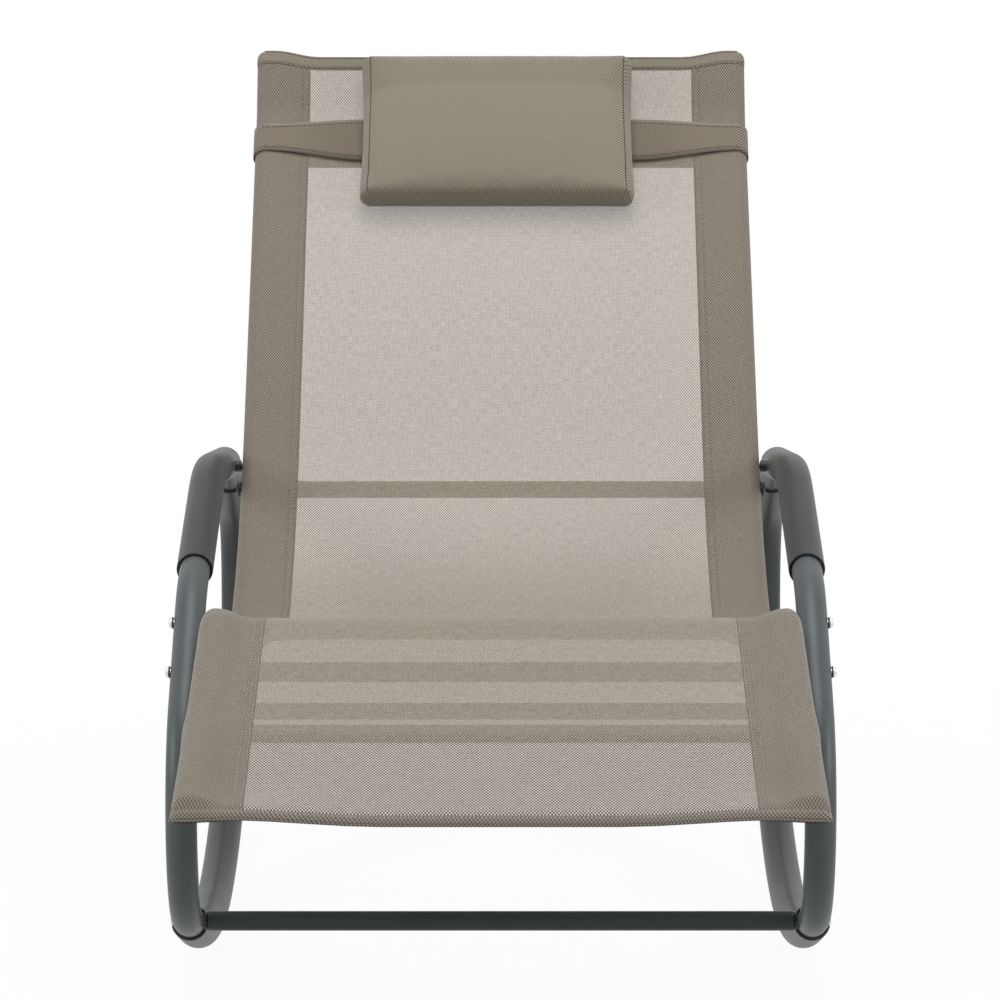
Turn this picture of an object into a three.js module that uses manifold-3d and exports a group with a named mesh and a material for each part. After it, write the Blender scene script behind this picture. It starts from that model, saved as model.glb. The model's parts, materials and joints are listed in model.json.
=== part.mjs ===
// Rocking chaise lounge. A mesh sling is sleeved on two bent rails. Each rail is bolted inside a closed
// side frame: an arm tube whose two ends slide into the mouths of a larger rocker tube, which rolls on
// the floor. Cross bars join the side frames, and a pillow rides on a band round the rails.
// Millimetres, +Z up, the foot end towards -Y, the floor at Z = 0.

import * as THREE from 'three';
import { mergeVertices } from 'three/addons/utils/BufferGeometryUtils.js';
import Module from 'manifold-3d';

const wasm = await Module();
wasm.setup();

// Driving dimensions

const overall = { length: 1563, height: 889 };
const gap = { seat: 0.3, sleeve: 0.45, bolt: 0.4, band: 0.5, cut: 1 };
const overrun = 4;

const rail = { outer: 25, wall: 1.5, centre: 263.2, footBend: 1500, kneeBend: 90, seatBend: 280,
  backBend: 650, headBend: 90, footInset: 38, headInset: 26 };
const railPointShares = [[-0.50093, 0.33411], [-0.35826, 0.38803], [-0.22717, 0.44881], [0.05435, 0.34086],
  [0.20469, 0.42966], [0.47532, 0.91565], [0.49781, 1.00112]];

const arm = { outer: 30, wall: 1.5, centre: 301.5, noseStraight: 28.8, wristBend: 150, crestBend: 300,
  rearBend: 200, insert: 49 };
const armPointShares = [[-0.05364, 0.43812], [0.13431, 0.53377], [0.34545, 0.50222]];
const armRise = 36;

const rocker = { outer: 36, wall: 1.8, radius: 960, frontStraight: 70.5, rearRun: 78.3, lowerBend: 100,
  upperBend: 105, mouthReach: 53.4 };
const rockerPlaceShares = { contact: 0.1216, rear: 0.46574 };
const rockerAngles = { front: 16.3, foot: 2.5, mouth: 26 };

const jointSleeve = { length: 45, lipInset: 0.7, lipLength: 1.5 };
const jointScrew = { shank: 4.4, head: 8, headHeight: 1.8, reach: 7, setback: 25 };

const grip = { outer: 36, rim: 2, frontReach: 120, rearStop: 101, spacerGap: 0.5 };

const baseBar = { outer: 19, wall: 1.5, plug: 22, frontSetback: 16, rearOffset: 24 };
const barSaddle = { length: 3, outer: 17 };
const barBolt = { shank: 6, head: 9.4, headHeight: 2.6, reach: 18 };

const bracket = { thickness: 4, width: 24, lowerReach: 43.8, upperReach: 23.5, slotHeight: 18 };
const seatBolt = { shank: 6, head: 10.6, headHeight: 3.6, reach: 18 };
const seatWasher = { outer: 11.6, thickness: 1.3 };
const seatSaddle = { outer: 15 };
const seatSpreader = { outer: 19, wall: 1.5, plug: 22 };

const backSpreader = { outer: 18, wall: 1.5, plug: 22, drop: 34.2 };
const spreaderBolt = { shank: 6, head: 15.6, headHeight: 4.3, reach: 18 };
const backSpacer = { outer: 12 };
const backBolt = { shank: 6, head: 11, headHeight: 2.6, reach: 6 };

const legSpreader = { outer: 16, wall: 1.5, plug: 22 };
const legSpreaderShare = 0.1072;
const legBolt = { shank: 6, head: 12, headHeight: 1.2, reach: 18 };

const railCap = { head: 3.2, plug: 18 };

const cloth = { thickness: 0.9, seam: 228, flapEdge: 216, footClosing: 34, headClosing: 16,
  headTrim: 6, headDip: 9 };
const panelRiseShares = [[0, -0.4], [0.245, 0.58], [0.55, 0.94], [1, 0.94]];

const band = { width: 56, railWidth: 36, thickness: 1.5, setback: 38 };
const pillow = { width: 302, drawIn: 5, seamInset: 8, edge: 29, swell: 6, crown: 22, lower: 140, upper: 56,
  round: 9 };
const pillowRowShares = [0, 0.015, 0.05, 0.12, 0.22, 0.35, 0.5, 0.64, 0.76, 0.86, 0.94, 0.985, 1];
const pillowColumnShares = [0.98, 0.93, 0.84, 0.7, 0.5, 0.26, 0.08];

const detail = { sides: 12, boltSides: 8, clothHoleSides: 6, chordGap: 1, capRings: 3 };

// Finishes

const finish = (color, roughness, metalness) => (
  new THREE.MeshStandardMaterial({ color, roughness, metalness }));
const frameFinish = finish(0x5d6366, 0.42, 0.55);
const gripFinish = finish(0x45474a, 0.7, 0);
const blackFinish = finish(0x1b1c1d, 0.55, 0);
const brightFinish = finish(0xc9cbcc, 0.2, 1);
const meshFinish = finish(0xa39b8d, 0.85, 0);
const pillowFinish = finish(0x8e8778, 0.9, 0);

// Side plane: a point is a Vector3 with X = 0, and an angle is measured from +Y towards +Z

const radians = THREE.MathUtils.degToRad;
const acrossX = new THREE.Vector3(1, 0, 0);

const sidePoint = (y, z) => new THREE.Vector3(0, y, z);
const sideShare = ([lengthShare, heightShare]) => (
  sidePoint(lengthShare * overall.length, heightShare * overall.height));
const heading = (angle) => sidePoint(Math.cos(angle), Math.sin(angle));
const moved = (point, direction, distance) => point.clone().addScaledVector(direction, distance);
const upFrom = (tangent) => sidePoint(-tangent.z, tangent.y);

function meet(p, pDirection, q, qDirection) {
  const cross = pDirection.y * qDirection.z - pDirection.z * qDirection.y;
  const along = ((q.y - p.y) * qDirection.z - (q.z - p.z) * qDirection.y) / cross;
  return moved(p, pDirection, along);
}

// A tube's centre line as bent in the shop: straights between corners, and a round bend at each corner.
// Its stations are where the section is set out: both ends of every bend, and steps inside it.

class BentPath extends THREE.Curve {
  constructor(corners, bends) {
    super();
    const last = corners.length - 1;
    const first = corners[1].clone().sub(corners[0]).normalize();
    this.stations = [{ point: corners[0], tangent: first }];
    for (let i = 1; i < last; i += 1) this.addBend(corners, i, bends[i - 1]);
    const final = corners[last].clone().sub(corners[last - 1]).normalize();
    this.stations.push({ point: corners[last], tangent: final });
    this.measure();
  }

  static fromStations(stations) {
    const path = Object.create(BentPath.prototype);
    path.stations = stations;
    path.measure();
    return path;
  }

  addBend(corners, i, radius) {
    const into = corners[i].clone().sub(corners[i - 1]).normalize();
    const out = corners[i + 1].clone().sub(corners[i]).normalize();
    const turn = Math.atan2(into.y * out.z - into.z * out.y, into.dot(out));
    const start = moved(corners[i], into, -radius * Math.tan(Math.abs(turn) / 2));
    const centre = moved(start, upFrom(into), radius * Math.sign(turn));
    const steps = Math.max(1, Math.round(Math.abs(turn) / (2 * Math.acos(1 - detail.chordGap / radius))));
    const entry = Math.atan2(into.z, into.y);
    for (let k = 0; k <= steps; k += 1) {
      const tangent = heading(entry + (turn * k) / steps);
      this.stations.push({ point: moved(centre, upFrom(tangent), -radius * Math.sign(turn)), tangent });
    }
  }

  measure() {
    this.distances = [0];
    for (let i = 1; i < this.stations.length; i += 1) {
      const step = this.stations[i].point.distanceTo(this.stations[i - 1].point);
      this.distances.push(this.distances[i - 1] + step);
    }
    this.total = this.distances.at(-1);
  }

  at(distance) {
    let i = 1;
    while (i < this.distances.length - 1 && this.distances[i] < distance) i += 1;
    const part = (distance - this.distances[i - 1]) / (this.distances[i] - this.distances[i - 1]);
    const [a, b] = [this.stations[i - 1], this.stations[i]];
    const tangent = a.tangent.clone().lerp(b.tangent, part).normalize();
    return { point: a.point.clone().lerp(b.point, part), tangent };
  }

  between(from, to) {
    const inside = this.stations.filter((_, i) => this.distances[i] > from && this.distances[i] < to);
    return BentPath.fromStations([this.at(from), ...inside, this.at(to)]);
  }

  withStations(extra) {
    const known = this.stations.map((station, i) => [this.distances[i], station]);
    const added = extra.map((distance) => [distance, this.at(distance)]);
    return BentPath.fromStations([...known, ...added].sort((a, b) => a[0] - b[0]).map((pair) => pair[1]));
  }

  getPoint(share) {
    return this.at(share * this.total).point;
  }

  getSpacedPoints() {
    return this.stations.map((station) => station.point);
  }

  computeFrenetFrames() {
    const tangents = this.stations.map((station) => station.tangent);
    const normals = tangents.map(() => acrossX.clone().negate());
    return { tangents, normals, binormals: tangents.map(upFrom) };
  }
}

function crossings(a, b) {
  const found = [];
  for (let i = 1; i < a.stations.length; i += 1) {
    for (let j = 1; j < b.stations.length; j += 1) {
      const [p, q] = [a.stations[i - 1].point, b.stations[j - 1].point];
      const [pRun, qRun] = [a.stations[i].point.clone().sub(p), b.stations[j].point.clone().sub(q)];
      const cross = pRun.y * qRun.z - pRun.z * qRun.y;
      const along = ((q.y - p.y) * qRun.z - (q.z - p.z) * qRun.y) / cross;
      const other = ((q.y - p.y) * pRun.z - (q.z - p.z) * pRun.y) / cross;
      if (along >= 0 && along < 1 && other >= 0 && other < 1) {
        found.push({ point: moved(p, pRun, along), onFirst: a.distances[i - 1] + along * pRun.length() });
      }
    }
  }
  return found.sort((p, q) => p.point.y - q.point.y);
}

// Solid forms

const flatSided = (radius, sides = detail.sides) => radius / Math.cos(Math.PI / sides);

function polygon(radius, sides = detail.sides) {
  return Array.from({ length: sides }, (_, k) => {
    const angle = (2 * Math.PI * (k + 0.5)) / sides;
    const reach = flatSided(radius, sides);
    return new THREE.Vector2(reach * Math.cos(angle), reach * Math.sin(angle));
  });
}

function pipeAlong(path, outer, wall) {
  const shape = new THREE.Shape(polygon(outer / 2));
  shape.holes.push(new THREE.Path(polygon(outer / 2 - wall)));
  return new THREE.ExtrudeGeometry(shape, { steps: path.stations.length - 1, extrudePath: path });
}

function signedVolume(points, index) {
  const [a, b, c] = [new THREE.Vector3(), new THREE.Vector3(), new THREE.Vector3()];
  let volume = 0;
  for (let i = 0; i < index.length; i += 3) {
    a.copy(points[index[i]]);
    b.copy(points[index[i + 1]]);
    c.copy(points[index[i + 2]]);
    volume += a.dot(b.cross(c));
  }
  return volume;
}

function facesFrom(points, index) {
  const outward = signedVolume(points, index) > 0 ? index : index.toReversed();
  const geometry = new THREE.BufferGeometry().setFromPoints(points);
  geometry.setIndex(outward);
  return geometry;
}

// Rings of equal count, joined one to the next; the last ring joins the first, or both ends are closed.
// Each four-sided face is split along its shorter diagonal, so mirrored sides come out alike.
function loft(rings, endsClosed) {
  const count = rings[0].length;
  const points = rings.flat();
  const index = [];
  const spans = endsClosed ? rings.length - 1 : rings.length;
  for (let r = 0; r < spans; r += 1) {
    const [low, high] = [r * count, ((r + 1) % rings.length) * count];
    for (let k = 0; k < count; k += 1) {
      const next = (k + 1) % count;
      const [a, b, c, d] = [low + k, low + next, high + next, high + k];
      if (points[a].distanceTo(points[c]) <= points[b].distanceTo(points[d])) index.push(a, b, c, a, c, d);
      else index.push(a, b, d, b, c, d);
    }
  }
  return { points, index, count, rings: rings.length };
}

function closeEnds(body, outline) {
  const faces = THREE.ShapeUtils.triangulateShape(outline, []);
  const flip = THREE.ShapeUtils.isClockWise(outline);
  const lastRing = (body.rings - 1) * body.count;
  for (const [a, b, c] of faces) {
    const [p, q] = flip ? [b, c] : [c, b];
    body.index.push(a, p, q, lastRing + a, lastRing + q, lastRing + p);
  }
  return facesFrom(body.points, body.index);
}

const acrossAndUp = (station, up, p) => (
  station.point.clone().addScaledVector(acrossX, p.x).addScaledVector(up, p.y));

function ringAt(station, radius) {
  const up = upFrom(station.tangent);
  return polygon(radius).map((p) => acrossAndUp(station, up, p));
}

const ringLoop = (stops) => {
  const body = loft(stops.map(([station, radius]) => ringAt(station, radius)), false);
  return facesFrom(body.points, body.index);
};

// Turned piece with its axis along +X; the profile holds pairs of radius and place along the axis
function turned(profile, sides) {
  const points = profile.map(([radius, place]) => new THREE.Vector2(flatSided(radius, sides), place));
  const geometry = new THREE.LatheGeometry(points, sides);
  geometry.rotateY(Math.PI / sides);
  return geometry.rotateZ(-Math.PI / 2);
}

function turnedRing(inner, outer, from, to, sides = detail.sides) {
  return turned([[inner, from], [outer, from], [outer, to], [inner, to], [inner, from]], sides);
}

function crossTube(size, half, boltRadius) {
  const [outer, bore, step] = [size.outer / 2, size.outer / 2 - size.wall, half - size.plug];
  return turned([[outer, -half], [outer, half], [boltRadius, half], [boltRadius, step], [bore, step],
    [bore, -step], [boltRadius, -step], [boltRadius, -half], [outer, -half]], detail.sides);
}

function bolt(size, seatPlace, reach) {
  const [shank, head, height] = [size.shank / 2, size.head / 2, size.headHeight];
  return turned([[0, seatPlace - reach], [shank, seatPlace - reach], [shank, seatPlace], [head, seatPlace],
    [head * 0.9, seatPlace + height * 0.5], [head * 0.5, seatPlace + height * 0.88],
    [0, seatPlace + height]], detail.boltSides);
}

// Cutting

function solidOf(geometry) {
  const bare = new THREE.BufferGeometry();
  bare.setAttribute('position', geometry.getAttribute('position'));
  if (geometry.index) bare.setIndex(geometry.index);
  const merged = mergeVertices(bare);
  const corners = merged.index.array;
  const kept = [];
  for (let i = 0; i < corners.length; i += 3) {
    const [a, b, c] = corners.slice(i, i + 3);
    if (a !== b && b !== c && c !== a) kept.push(a, b, c);
  }
  const triVerts = Uint32Array.from(kept);
  const vertProperties = Float32Array.from(merged.getAttribute('position').array);
  return new wasm.Manifold(new wasm.Mesh({ numProp: 3, vertProperties, triVerts }));
}

function geometryOf(solid) {
  const mesh = solid.getMesh();
  const geometry = new THREE.BufferGeometry();
  geometry.setAttribute('position', new THREE.BufferAttribute(Float32Array.from(mesh.vertProperties), 3));
  geometry.setIndex(new THREE.BufferAttribute(Uint32Array.from(mesh.triVerts), 1));
  return geometry;
}

function cutBy(geometry, tools) {
  return geometryOf(tools.reduce((solid, tool) => solid.subtract(solidOf(tool)), solidOf(geometry)));
}

const placed = (geometry, x, point) => geometry.clone().translate(x, point.y, point.z);

function drill(radius, from, to, point, sides = detail.boltSides) {
  return placed(turned([[0, from], [radius, from], [radius, to], [0, to]], sides), 0, point);
}

function mirrored(geometry) {
  const copy = mergeVertices(geometry.clone().deleteAttribute('normal').deleteAttribute('uv'));
  copy.scale(-1, 1, 1);
  copy.setIndex(Array.from(copy.index.array).toReversed());
  return copy;
}

// Centre lines

const railCorners = railPointShares.map(sideShare);
const railBends = [rail.footBend, rail.kneeBend, rail.seatBend, rail.backBend, rail.headBend];
const railPath = new BentPath(railCorners, railBends);
const backHeading = railCorners[5].clone().sub(railCorners[4]).normalize();

const contact = sidePoint(rockerPlaceShares.contact * overall.length, 0);
const rollCentre = moved(contact, sidePoint(0, 1), rocker.outer / 2 + rocker.radius);
const onRocker = (angle) => moved(rollCentre, upFrom(heading(angle)), -rocker.radius);
const frontHeading = heading(radians(-rockerAngles.front));
const arcFront = onRocker(radians(-rockerAngles.front));
const rearPlane = sidePoint(rockerPlaceShares.rear * overall.length, 0);
const rearAngle = Math.asin((rearPlane.y - rocker.rearRun - contact.y) / rocker.radius);
const rearHeading = heading(rearAngle);
const arcRear = onRocker(rearAngle);
const mouthHeading = heading(radians(-rockerAngles.mouth));

const [wrist, crest, elbow] = armPointShares.map(sideShare);
const frontMouth = moved(arcFront, frontHeading, -rocker.frontStraight);
const rearMouth = moved(elbow, mouthHeading, rocker.mouthReach);
const nose = meet(frontMouth, frontHeading, wrist, heading(radians(armRise)));
const noseTurn = Math.PI - radians(rockerAngles.front + armRise);
const noseBend = (nose.distanceTo(frontMouth) - arm.noseStraight) / Math.tan(noseTurn / 2);
const upright = sidePoint(0, 1);

const armEnds = [moved(frontMouth, frontHeading, arm.insert), moved(rearMouth, mouthHeading, arm.insert)];
const armPath = new BentPath(
  [armEnds[0], nose, wrist, crest, elbow, armEnds[1]],
  [noseBend, arm.wristBend, arm.crestBend, arm.rearBend],
);
const footHeadings = [heading(radians(-rockerAngles.foot)), heading(radians(rockerAngles.foot))];
const footEnds = [onRocker(radians(-rockerAngles.foot)), onRocker(radians(rockerAngles.foot))];
const frontRoll = new BentPath(
  [frontMouth, meet(arcFront, frontHeading, footEnds[0], footHeadings[0]), footEnds[0]], [rocker.radius]);
const rearRoll = new BentPath(
  [footEnds[1], meet(footEnds[1], footHeadings[1], arcRear, rearHeading), arcRear], [rocker.radius]);
const rearCorners = [
  meet(arcRear, rearHeading, rearPlane, upright), meet(rearMouth, mouthHeading, rearPlane, upright)];
const rearRise = new BentPath([arcRear, ...rearCorners, rearMouth], [rocker.lowerBend, rocker.upperBend]);
const rockerPath = BentPath.fromStations(
  [...frontRoll.stations.slice(0, -1), ...rearRoll.stations.slice(1, -1), ...rearRise.stations.slice(1)]);

const [seatCross, backCross] = crossings(armPath, railPath);
const lowerBoltPoint = armPath.at(seatCross.onFirst - bracket.lowerReach).point;
const upperBoltPoint = armPath.at(seatCross.onFirst + bracket.upperReach).point;
const armHeading = upperBoltPoint.clone().sub(lowerBoltPoint).normalize();
const railAtSeat = railCorners[3].clone().sub(railCorners[2]).normalize();
const backCrossRun = crossings(railPath, armPath).at(-1).onFirst;
const backSpreaderPoint = railPath.at(backCrossRun - backSpreader.drop).point;
const legSpreaderPoint = railPath.at(legSpreaderShare * railPath.total).point;
const frontBarPoint = moved(frontMouth, frontHeading, -baseBar.frontSetback);
const rearBarPoint = moved(arcRear, rearHeading, baseBar.rearOffset);
const mouthScrews = {
  front: moved(frontMouth, frontHeading, jointScrew.setback),
  rear: moved(rearMouth, mouthHeading, jointScrew.setback),
};

// Planes across the chair, as distances from its middle

const armInner = arm.centre - arm.outer / 2;
const armOuter = arm.centre + arm.outer / 2;
const rockerInner = arm.centre - rocker.outer / 2;
const rockerOuter = arm.centre + rocker.outer / 2;
const railInner = rail.centre - rail.outer / 2;
const railOuter = rail.centre + rail.outer / 2;
const sleeveOuter = railOuter + gap.sleeve + cloth.thickness;
const bracketInner = railOuter + gap.seat;
const bracketOuter = bracketInner + bracket.thickness;
const boltHole = (size) => size.shank / 2 + gap.bolt;

const chaise = new THREE.Group();

function addPiece(name, geometry, material, x = 0, point = sidePoint(0, 0)) {
  const mesh = new THREE.Mesh(geometry, material);
  mesh.name = name;
  mesh.position.set(x, point.y, point.z);
  chaise.add(mesh);
}

// One piece on each side, the left one being the right one's mirror image
function addPair(name, geometry, material, point) {
  addPiece(`${name}_right`, geometry, material, 0, point);
  addPiece(`${name}_left`, mirrored(geometry), material, 0, point);
}

const shifted = (geometry, x) => geometry.translate(x, 0, 0);
const throughHole = (size, centre, reach, point) => (
  drill(boltHole(size), centre - reach, centre + reach, point));
const innerHole = (size, centre, reach, point) => drill(boltHole(size), centre - reach, centre, point);

// Side frames

function addSideFrames() {
  const wide = rocker.outer / 2 + overrun;
  const screws = Object.values(mouthScrews).map((point) => innerHole(jointScrew, arm.centre, wide, point));
  const seatPoints = [lowerBoltPoint, upperBoltPoint];
  const armHoles = seatPoints.map((point) => throughHole(seatBolt, arm.centre, wide, point));
  const barHole = throughHole(barBolt, arm.centre, wide, frontBarPoint);
  const backHole = innerHole(backBolt, arm.centre, wide, backCross.point);
  const armTube = shifted(pipeAlong(armPath, arm.outer, arm.wall), arm.centre);
  addPair('arm_tube', cutBy(armTube, [...screws, ...armHoles, barHole, backHole]), frameFinish);

  const rockerTube = shifted(pipeAlong(rockerPath, rocker.outer, rocker.wall), arm.centre);
  const rearBarHole = throughHole(barBolt, arm.centre, wide, rearBarPoint);
  addPair('rocker_tube', cutBy(rockerTube, [...screws, rearBarHole]), frameFinish);
  addMouths();
  addGrips();
}

function addMouths() {
  const inner = arm.outer / 2 + gap.seat;
  const outer = rocker.outer / 2 - rocker.wall - gap.seat;
  const rim = rocker.outer / 2 - jointSleeve.lipInset;
  const mouths = { front: [frontMouth, frontHeading], rear: [rearMouth, mouthHeading] };
  for (const [end, [mouth, inward]] of Object.entries(mouths)) {
    const stop = (distance) => ({ point: moved(mouth, inward, distance), tangent: inward });
    const [face, lip] = [stop(-gap.seat - jointSleeve.lipLength), stop(-gap.seat)];
    const tail = stop(jointSleeve.length);
    const sleeve = ringLoop(
      [[face, rim], [lip, rim], [lip, outer], [tail, outer], [tail, inner], [face, inner]]);
    const hole = innerHole(jointScrew, arm.centre, rocker.outer, mouthScrews[end]);
    addPair(`joint_sleeve_${end}`, cutBy(shifted(sleeve, arm.centre), [hole]), blackFinish);
    const screw = bolt(jointScrew, 0, jointScrew.reach).rotateZ(Math.PI);
    addPair(`joint_screw_${end}`, shifted(screw, rockerInner - gap.seat), blackFinish, mouthScrews[end]);
  }
}

function addGrips() {
  const path = armPath.between(seatCross.onFirst + grip.frontReach, backCross.onFirst + grip.rearStop);
  const [outer, bore] = [grip.outer / 2, arm.outer / 2 + gap.seat];
  const ringStep = Math.PI / 2 / (detail.capRings - 1);
  const roundings = Array.from({ length: detail.capRings }, (_, k) => k * ringStep);
  const rimRadius = (angle) => outer - (outer - bore) * 0.8 * (1 - Math.sin(angle));
  const rimPlace = (angle) => grip.rim * (1 - Math.cos(angle));
  const body = path.between(grip.rim, path.total - grip.rim).stations.slice(1, -1);
  const stops = [
    ...roundings.map((angle) => [path.at(rimPlace(angle)), rimRadius(angle)]),
    ...body.map((station) => [station, outer]),
    ...roundings.toReversed().map((angle) => (
      [path.at(path.total - rimPlace(angle)), rimRadius(angle)])),
    ...path.stations.toReversed().map((station) => [station, bore]),
  ];
  const spacerRadius = backSpacer.outer / 2 + grip.spacerGap;
  const spacerHole = drill(spacerRadius, arm.centre - grip.outer, arm.centre, backCross.point);
  addPair('arm_grip', cutBy(shifted(ringLoop(stops), arm.centre), [spacerHole]), gripFinish);
}

// Cross bars between the side frames

function addBaseBars() {
  const ends = {
    front: [frontBarPoint, armInner, armOuter],
    rear: [rearBarPoint, rockerInner, rockerOuter],
  };
  for (const [end, [point, inner, outer]] of Object.entries(ends)) {
    const half = inner - 2 * gap.seat - barSaddle.length;
    addPiece(`base_bar_${end}`, crossTube(baseBar, half, boltHole(barBolt)), frameFinish, 0, point);
    const saddleEnds = [inner - gap.seat - barSaddle.length, inner - gap.seat];
    const saddle = turnedRing(boltHole(barBolt), barSaddle.outer / 2, ...saddleEnds);
    addPair(`bar_saddle_${end}`, saddle, blackFinish, point);
    const reach = outer + gap.seat - half + barBolt.reach;
    addPair(`bar_bolt_${end}`, bolt(barBolt, outer + gap.seat, reach), brightFinish, point);
  }
}

// Rails, their caps and the cross tubes between them

function addRails() {
  const path = railPath.between(rail.footInset, railPath.total - rail.headInset);
  const tube = shifted(pipeAlong(path, rail.outer, rail.wall), rail.centre);
  const holes = [
    [backBolt, backCross.point], [spreaderBolt, backSpreaderPoint], [legBolt, legSpreaderPoint]];
  const tools = holes.map(([size, point]) => throughHole(size, rail.centre, rail.outer, point));
  addPair('side_rail', cutBy(tube, tools), frameFinish);
  addRailCap('foot', path.stations[0], -1);
  addRailCap('head', path.stations.at(-1), 1);
}

function addRailCap(end, station, outward) {
  const { point, tangent } = station;
  const stop = (distance) => ({ point: moved(point, tangent, outward * distance), tangent });
  const plug = rail.outer / 2 - rail.wall - gap.seat;
  const stops = [
    [stop(-railCap.plug), plug], [stop(gap.seat), plug], [stop(gap.seat), rail.outer / 2],
    [stop(gap.seat + railCap.head * 0.6), rail.outer / 2],
    [stop(gap.seat + railCap.head), rail.outer * 0.4],
  ];
  const body = loft(stops.map(([place, radius]) => ringAt(place, radius)), true);
  addPair(`rail_cap_${end}`, shifted(closeEnds(body, polygon(plug)), rail.centre), blackFinish);
}

function addSpreaders() {
  const seatTube = crossTube(seatSpreader, bracketInner - gap.seat, boltHole(seatBolt));
  addPiece('seat_spreader', seatTube, frameFinish, 0, lowerBoltPoint);
  const half = railInner - gap.seat;
  const backTube = crossTube(backSpreader, half, boltHole(spreaderBolt));
  addPiece('back_spreader', backTube, frameFinish, 0, backSpreaderPoint);
  const legTube = crossTube(legSpreader, half, boltHole(legBolt));
  addPiece('leg_spreader', legTube, frameFinish, 0, legSpreaderPoint);

  const capSeat = sleeveOuter + gap.seat;
  const capReach = capSeat - half + spreaderBolt.reach;
  addPair('spreader_bolt', bolt(spreaderBolt, capSeat, capReach), blackFinish, backSpreaderPoint);
  const flatSeat = railOuter + gap.seat;
  const flatReach = flatSeat - half + legBolt.reach;
  addPair('leg_bolt', bolt(legBolt, flatSeat, flatReach), brightFinish, legSpreaderPoint);
}

// Brackets and bolts that hang the rails in the side frames

function addBrackets() {
  const [reach, half] = [lowerBoltPoint.distanceTo(upperBoltPoint), bracket.width / 2];
  const outline = new THREE.Shape();
  outline.absarc(reach, 0, half, -Math.PI / 2, Math.PI / 2, false);
  outline.absarc(0, 0, half, Math.PI / 2, (3 * Math.PI) / 2, false);
  const hole = polygon(boltHole(seatBolt), detail.boltSides);
  for (const place of [0, reach]) {
    outline.holes.push(new THREE.Path(hole.map((p) => new THREE.Vector2(p.x + place, p.y))));
  }
  const settings = { depth: bracket.thickness, bevelEnabled: false, curveSegments: 6 };
  const plate = new THREE.ExtrudeGeometry(outline, settings);
  plate.applyMatrix4(new THREE.Matrix4().makeBasis(armHeading, upFrom(armHeading), acrossX));
  addPair('seat_bracket', shifted(plate, bracketInner), frameFinish, lowerBoltPoint);

  const washerSeat = armOuter + gap.seat;
  const headSeat = washerSeat + seatWasher.thickness + gap.seat;
  const lowerTip = bracketInner - gap.seat - seatBolt.reach;
  const places = { lower: [lowerBoltPoint, lowerTip], upper: [upperBoltPoint, bracketInner] };
  const holeRadius = boltHole(seatBolt);
  for (const [level, [point, tip]] of Object.entries(places)) {
    addPair(`seat_bolt_${level}`, bolt(seatBolt, headSeat, headSeat - tip), brightFinish, point);
    const washerEnds = [washerSeat, washerSeat + seatWasher.thickness];
    const washer = turnedRing(holeRadius, seatWasher.outer / 2, ...washerEnds);
    addPair(`seat_washer_${level}`, washer, blackFinish, point);
    const saddleEnds = [bracketOuter + gap.seat, armInner - gap.seat];
    const saddle = turnedRing(holeRadius, seatSaddle.outer / 2, ...saddleEnds);
    addPair(`seat_saddle_${level}`, saddle, blackFinish, point);
  }

  const spacerEnds = [sleeveOuter + gap.seat, armInner - gap.seat];
  const spacer = turnedRing(boltHole(backBolt), backSpacer.outer / 2, ...spacerEnds);
  addPair('back_spacer', spacer, blackFinish, backCross.point);
  const backReach = armInner + arm.wall + backBolt.reach - railInner + gap.seat;
  const inward = bolt(backBolt, 0, backReach).rotateZ(Math.PI);
  addPair('back_bolt', shifted(inward, railInner - gap.seat), blackFinish, backCross.point);
}

// Sling: one cloth, folded round each rail and sewn back to itself along a flap

const ridgeRise = flatSided(legSpreader.outer / 2) + gap.seat + cloth.thickness / 2;
const panelRises = [...panelRiseShares.map(([place, rise]) => [place, (rise * rail.outer) / 2]),
  [legSpreaderShare, ridgeRise]].sort((a, b) => a[0] - b[0]);

// Height of the cloth's middle above the rails' centre line, at a share of the rails' length
function panelRise(share) {
  const i = Math.max(1, panelRises.findIndex(([place]) => place >= share));
  const [[fromPlace, fromRise], [toPlace, toRise]] = [panelRises[i - 1], panelRises[i]];
  return THREE.MathUtils.mapLinear(share, fromPlace, toPlace, fromRise, toRise);
}

// The cloth's section: its sleeve is round where openness is 1, and pressed flat at the panel's height
// where it is 0
function slingOutline(rise, openness) {
  const wrap = [105, 75, 45, 15, -15, -45, -75, -105].map(radians);
  const inside = rail.outer / 2 + gap.sleeve;
  const top = rise + cloth.thickness / 2;
  const under = rise - cloth.thickness / 2;
  const flapTop = under - gap.seat;
  const flapUnder = flapTop - cloth.thickness;
  const level = ((under + flapTop) / 2) * (1 - openness);
  const around = (radius, angle) => {
    const reach = flatSided(radius);
    const height = THREE.MathUtils.lerp(gap.seat + radius - inside, reach, openness);
    return new THREE.Vector2(rail.centre + reach * Math.cos(angle), level + height * Math.sin(angle));
  };
  const half = [
    new THREE.Vector2(cloth.seam, top),
    ...wrap.map((angle) => around(inside + cloth.thickness, angle)),
    new THREE.Vector2(cloth.flapEdge, flapUnder), new THREE.Vector2(cloth.flapEdge, flapTop),
    ...wrap.toReversed().map((angle) => around(inside, angle)),
    new THREE.Vector2(cloth.seam, under),
  ];
  return [...half, ...half.toReversed().map((p) => new THREE.Vector2(-p.x, p.y))];
}

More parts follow.
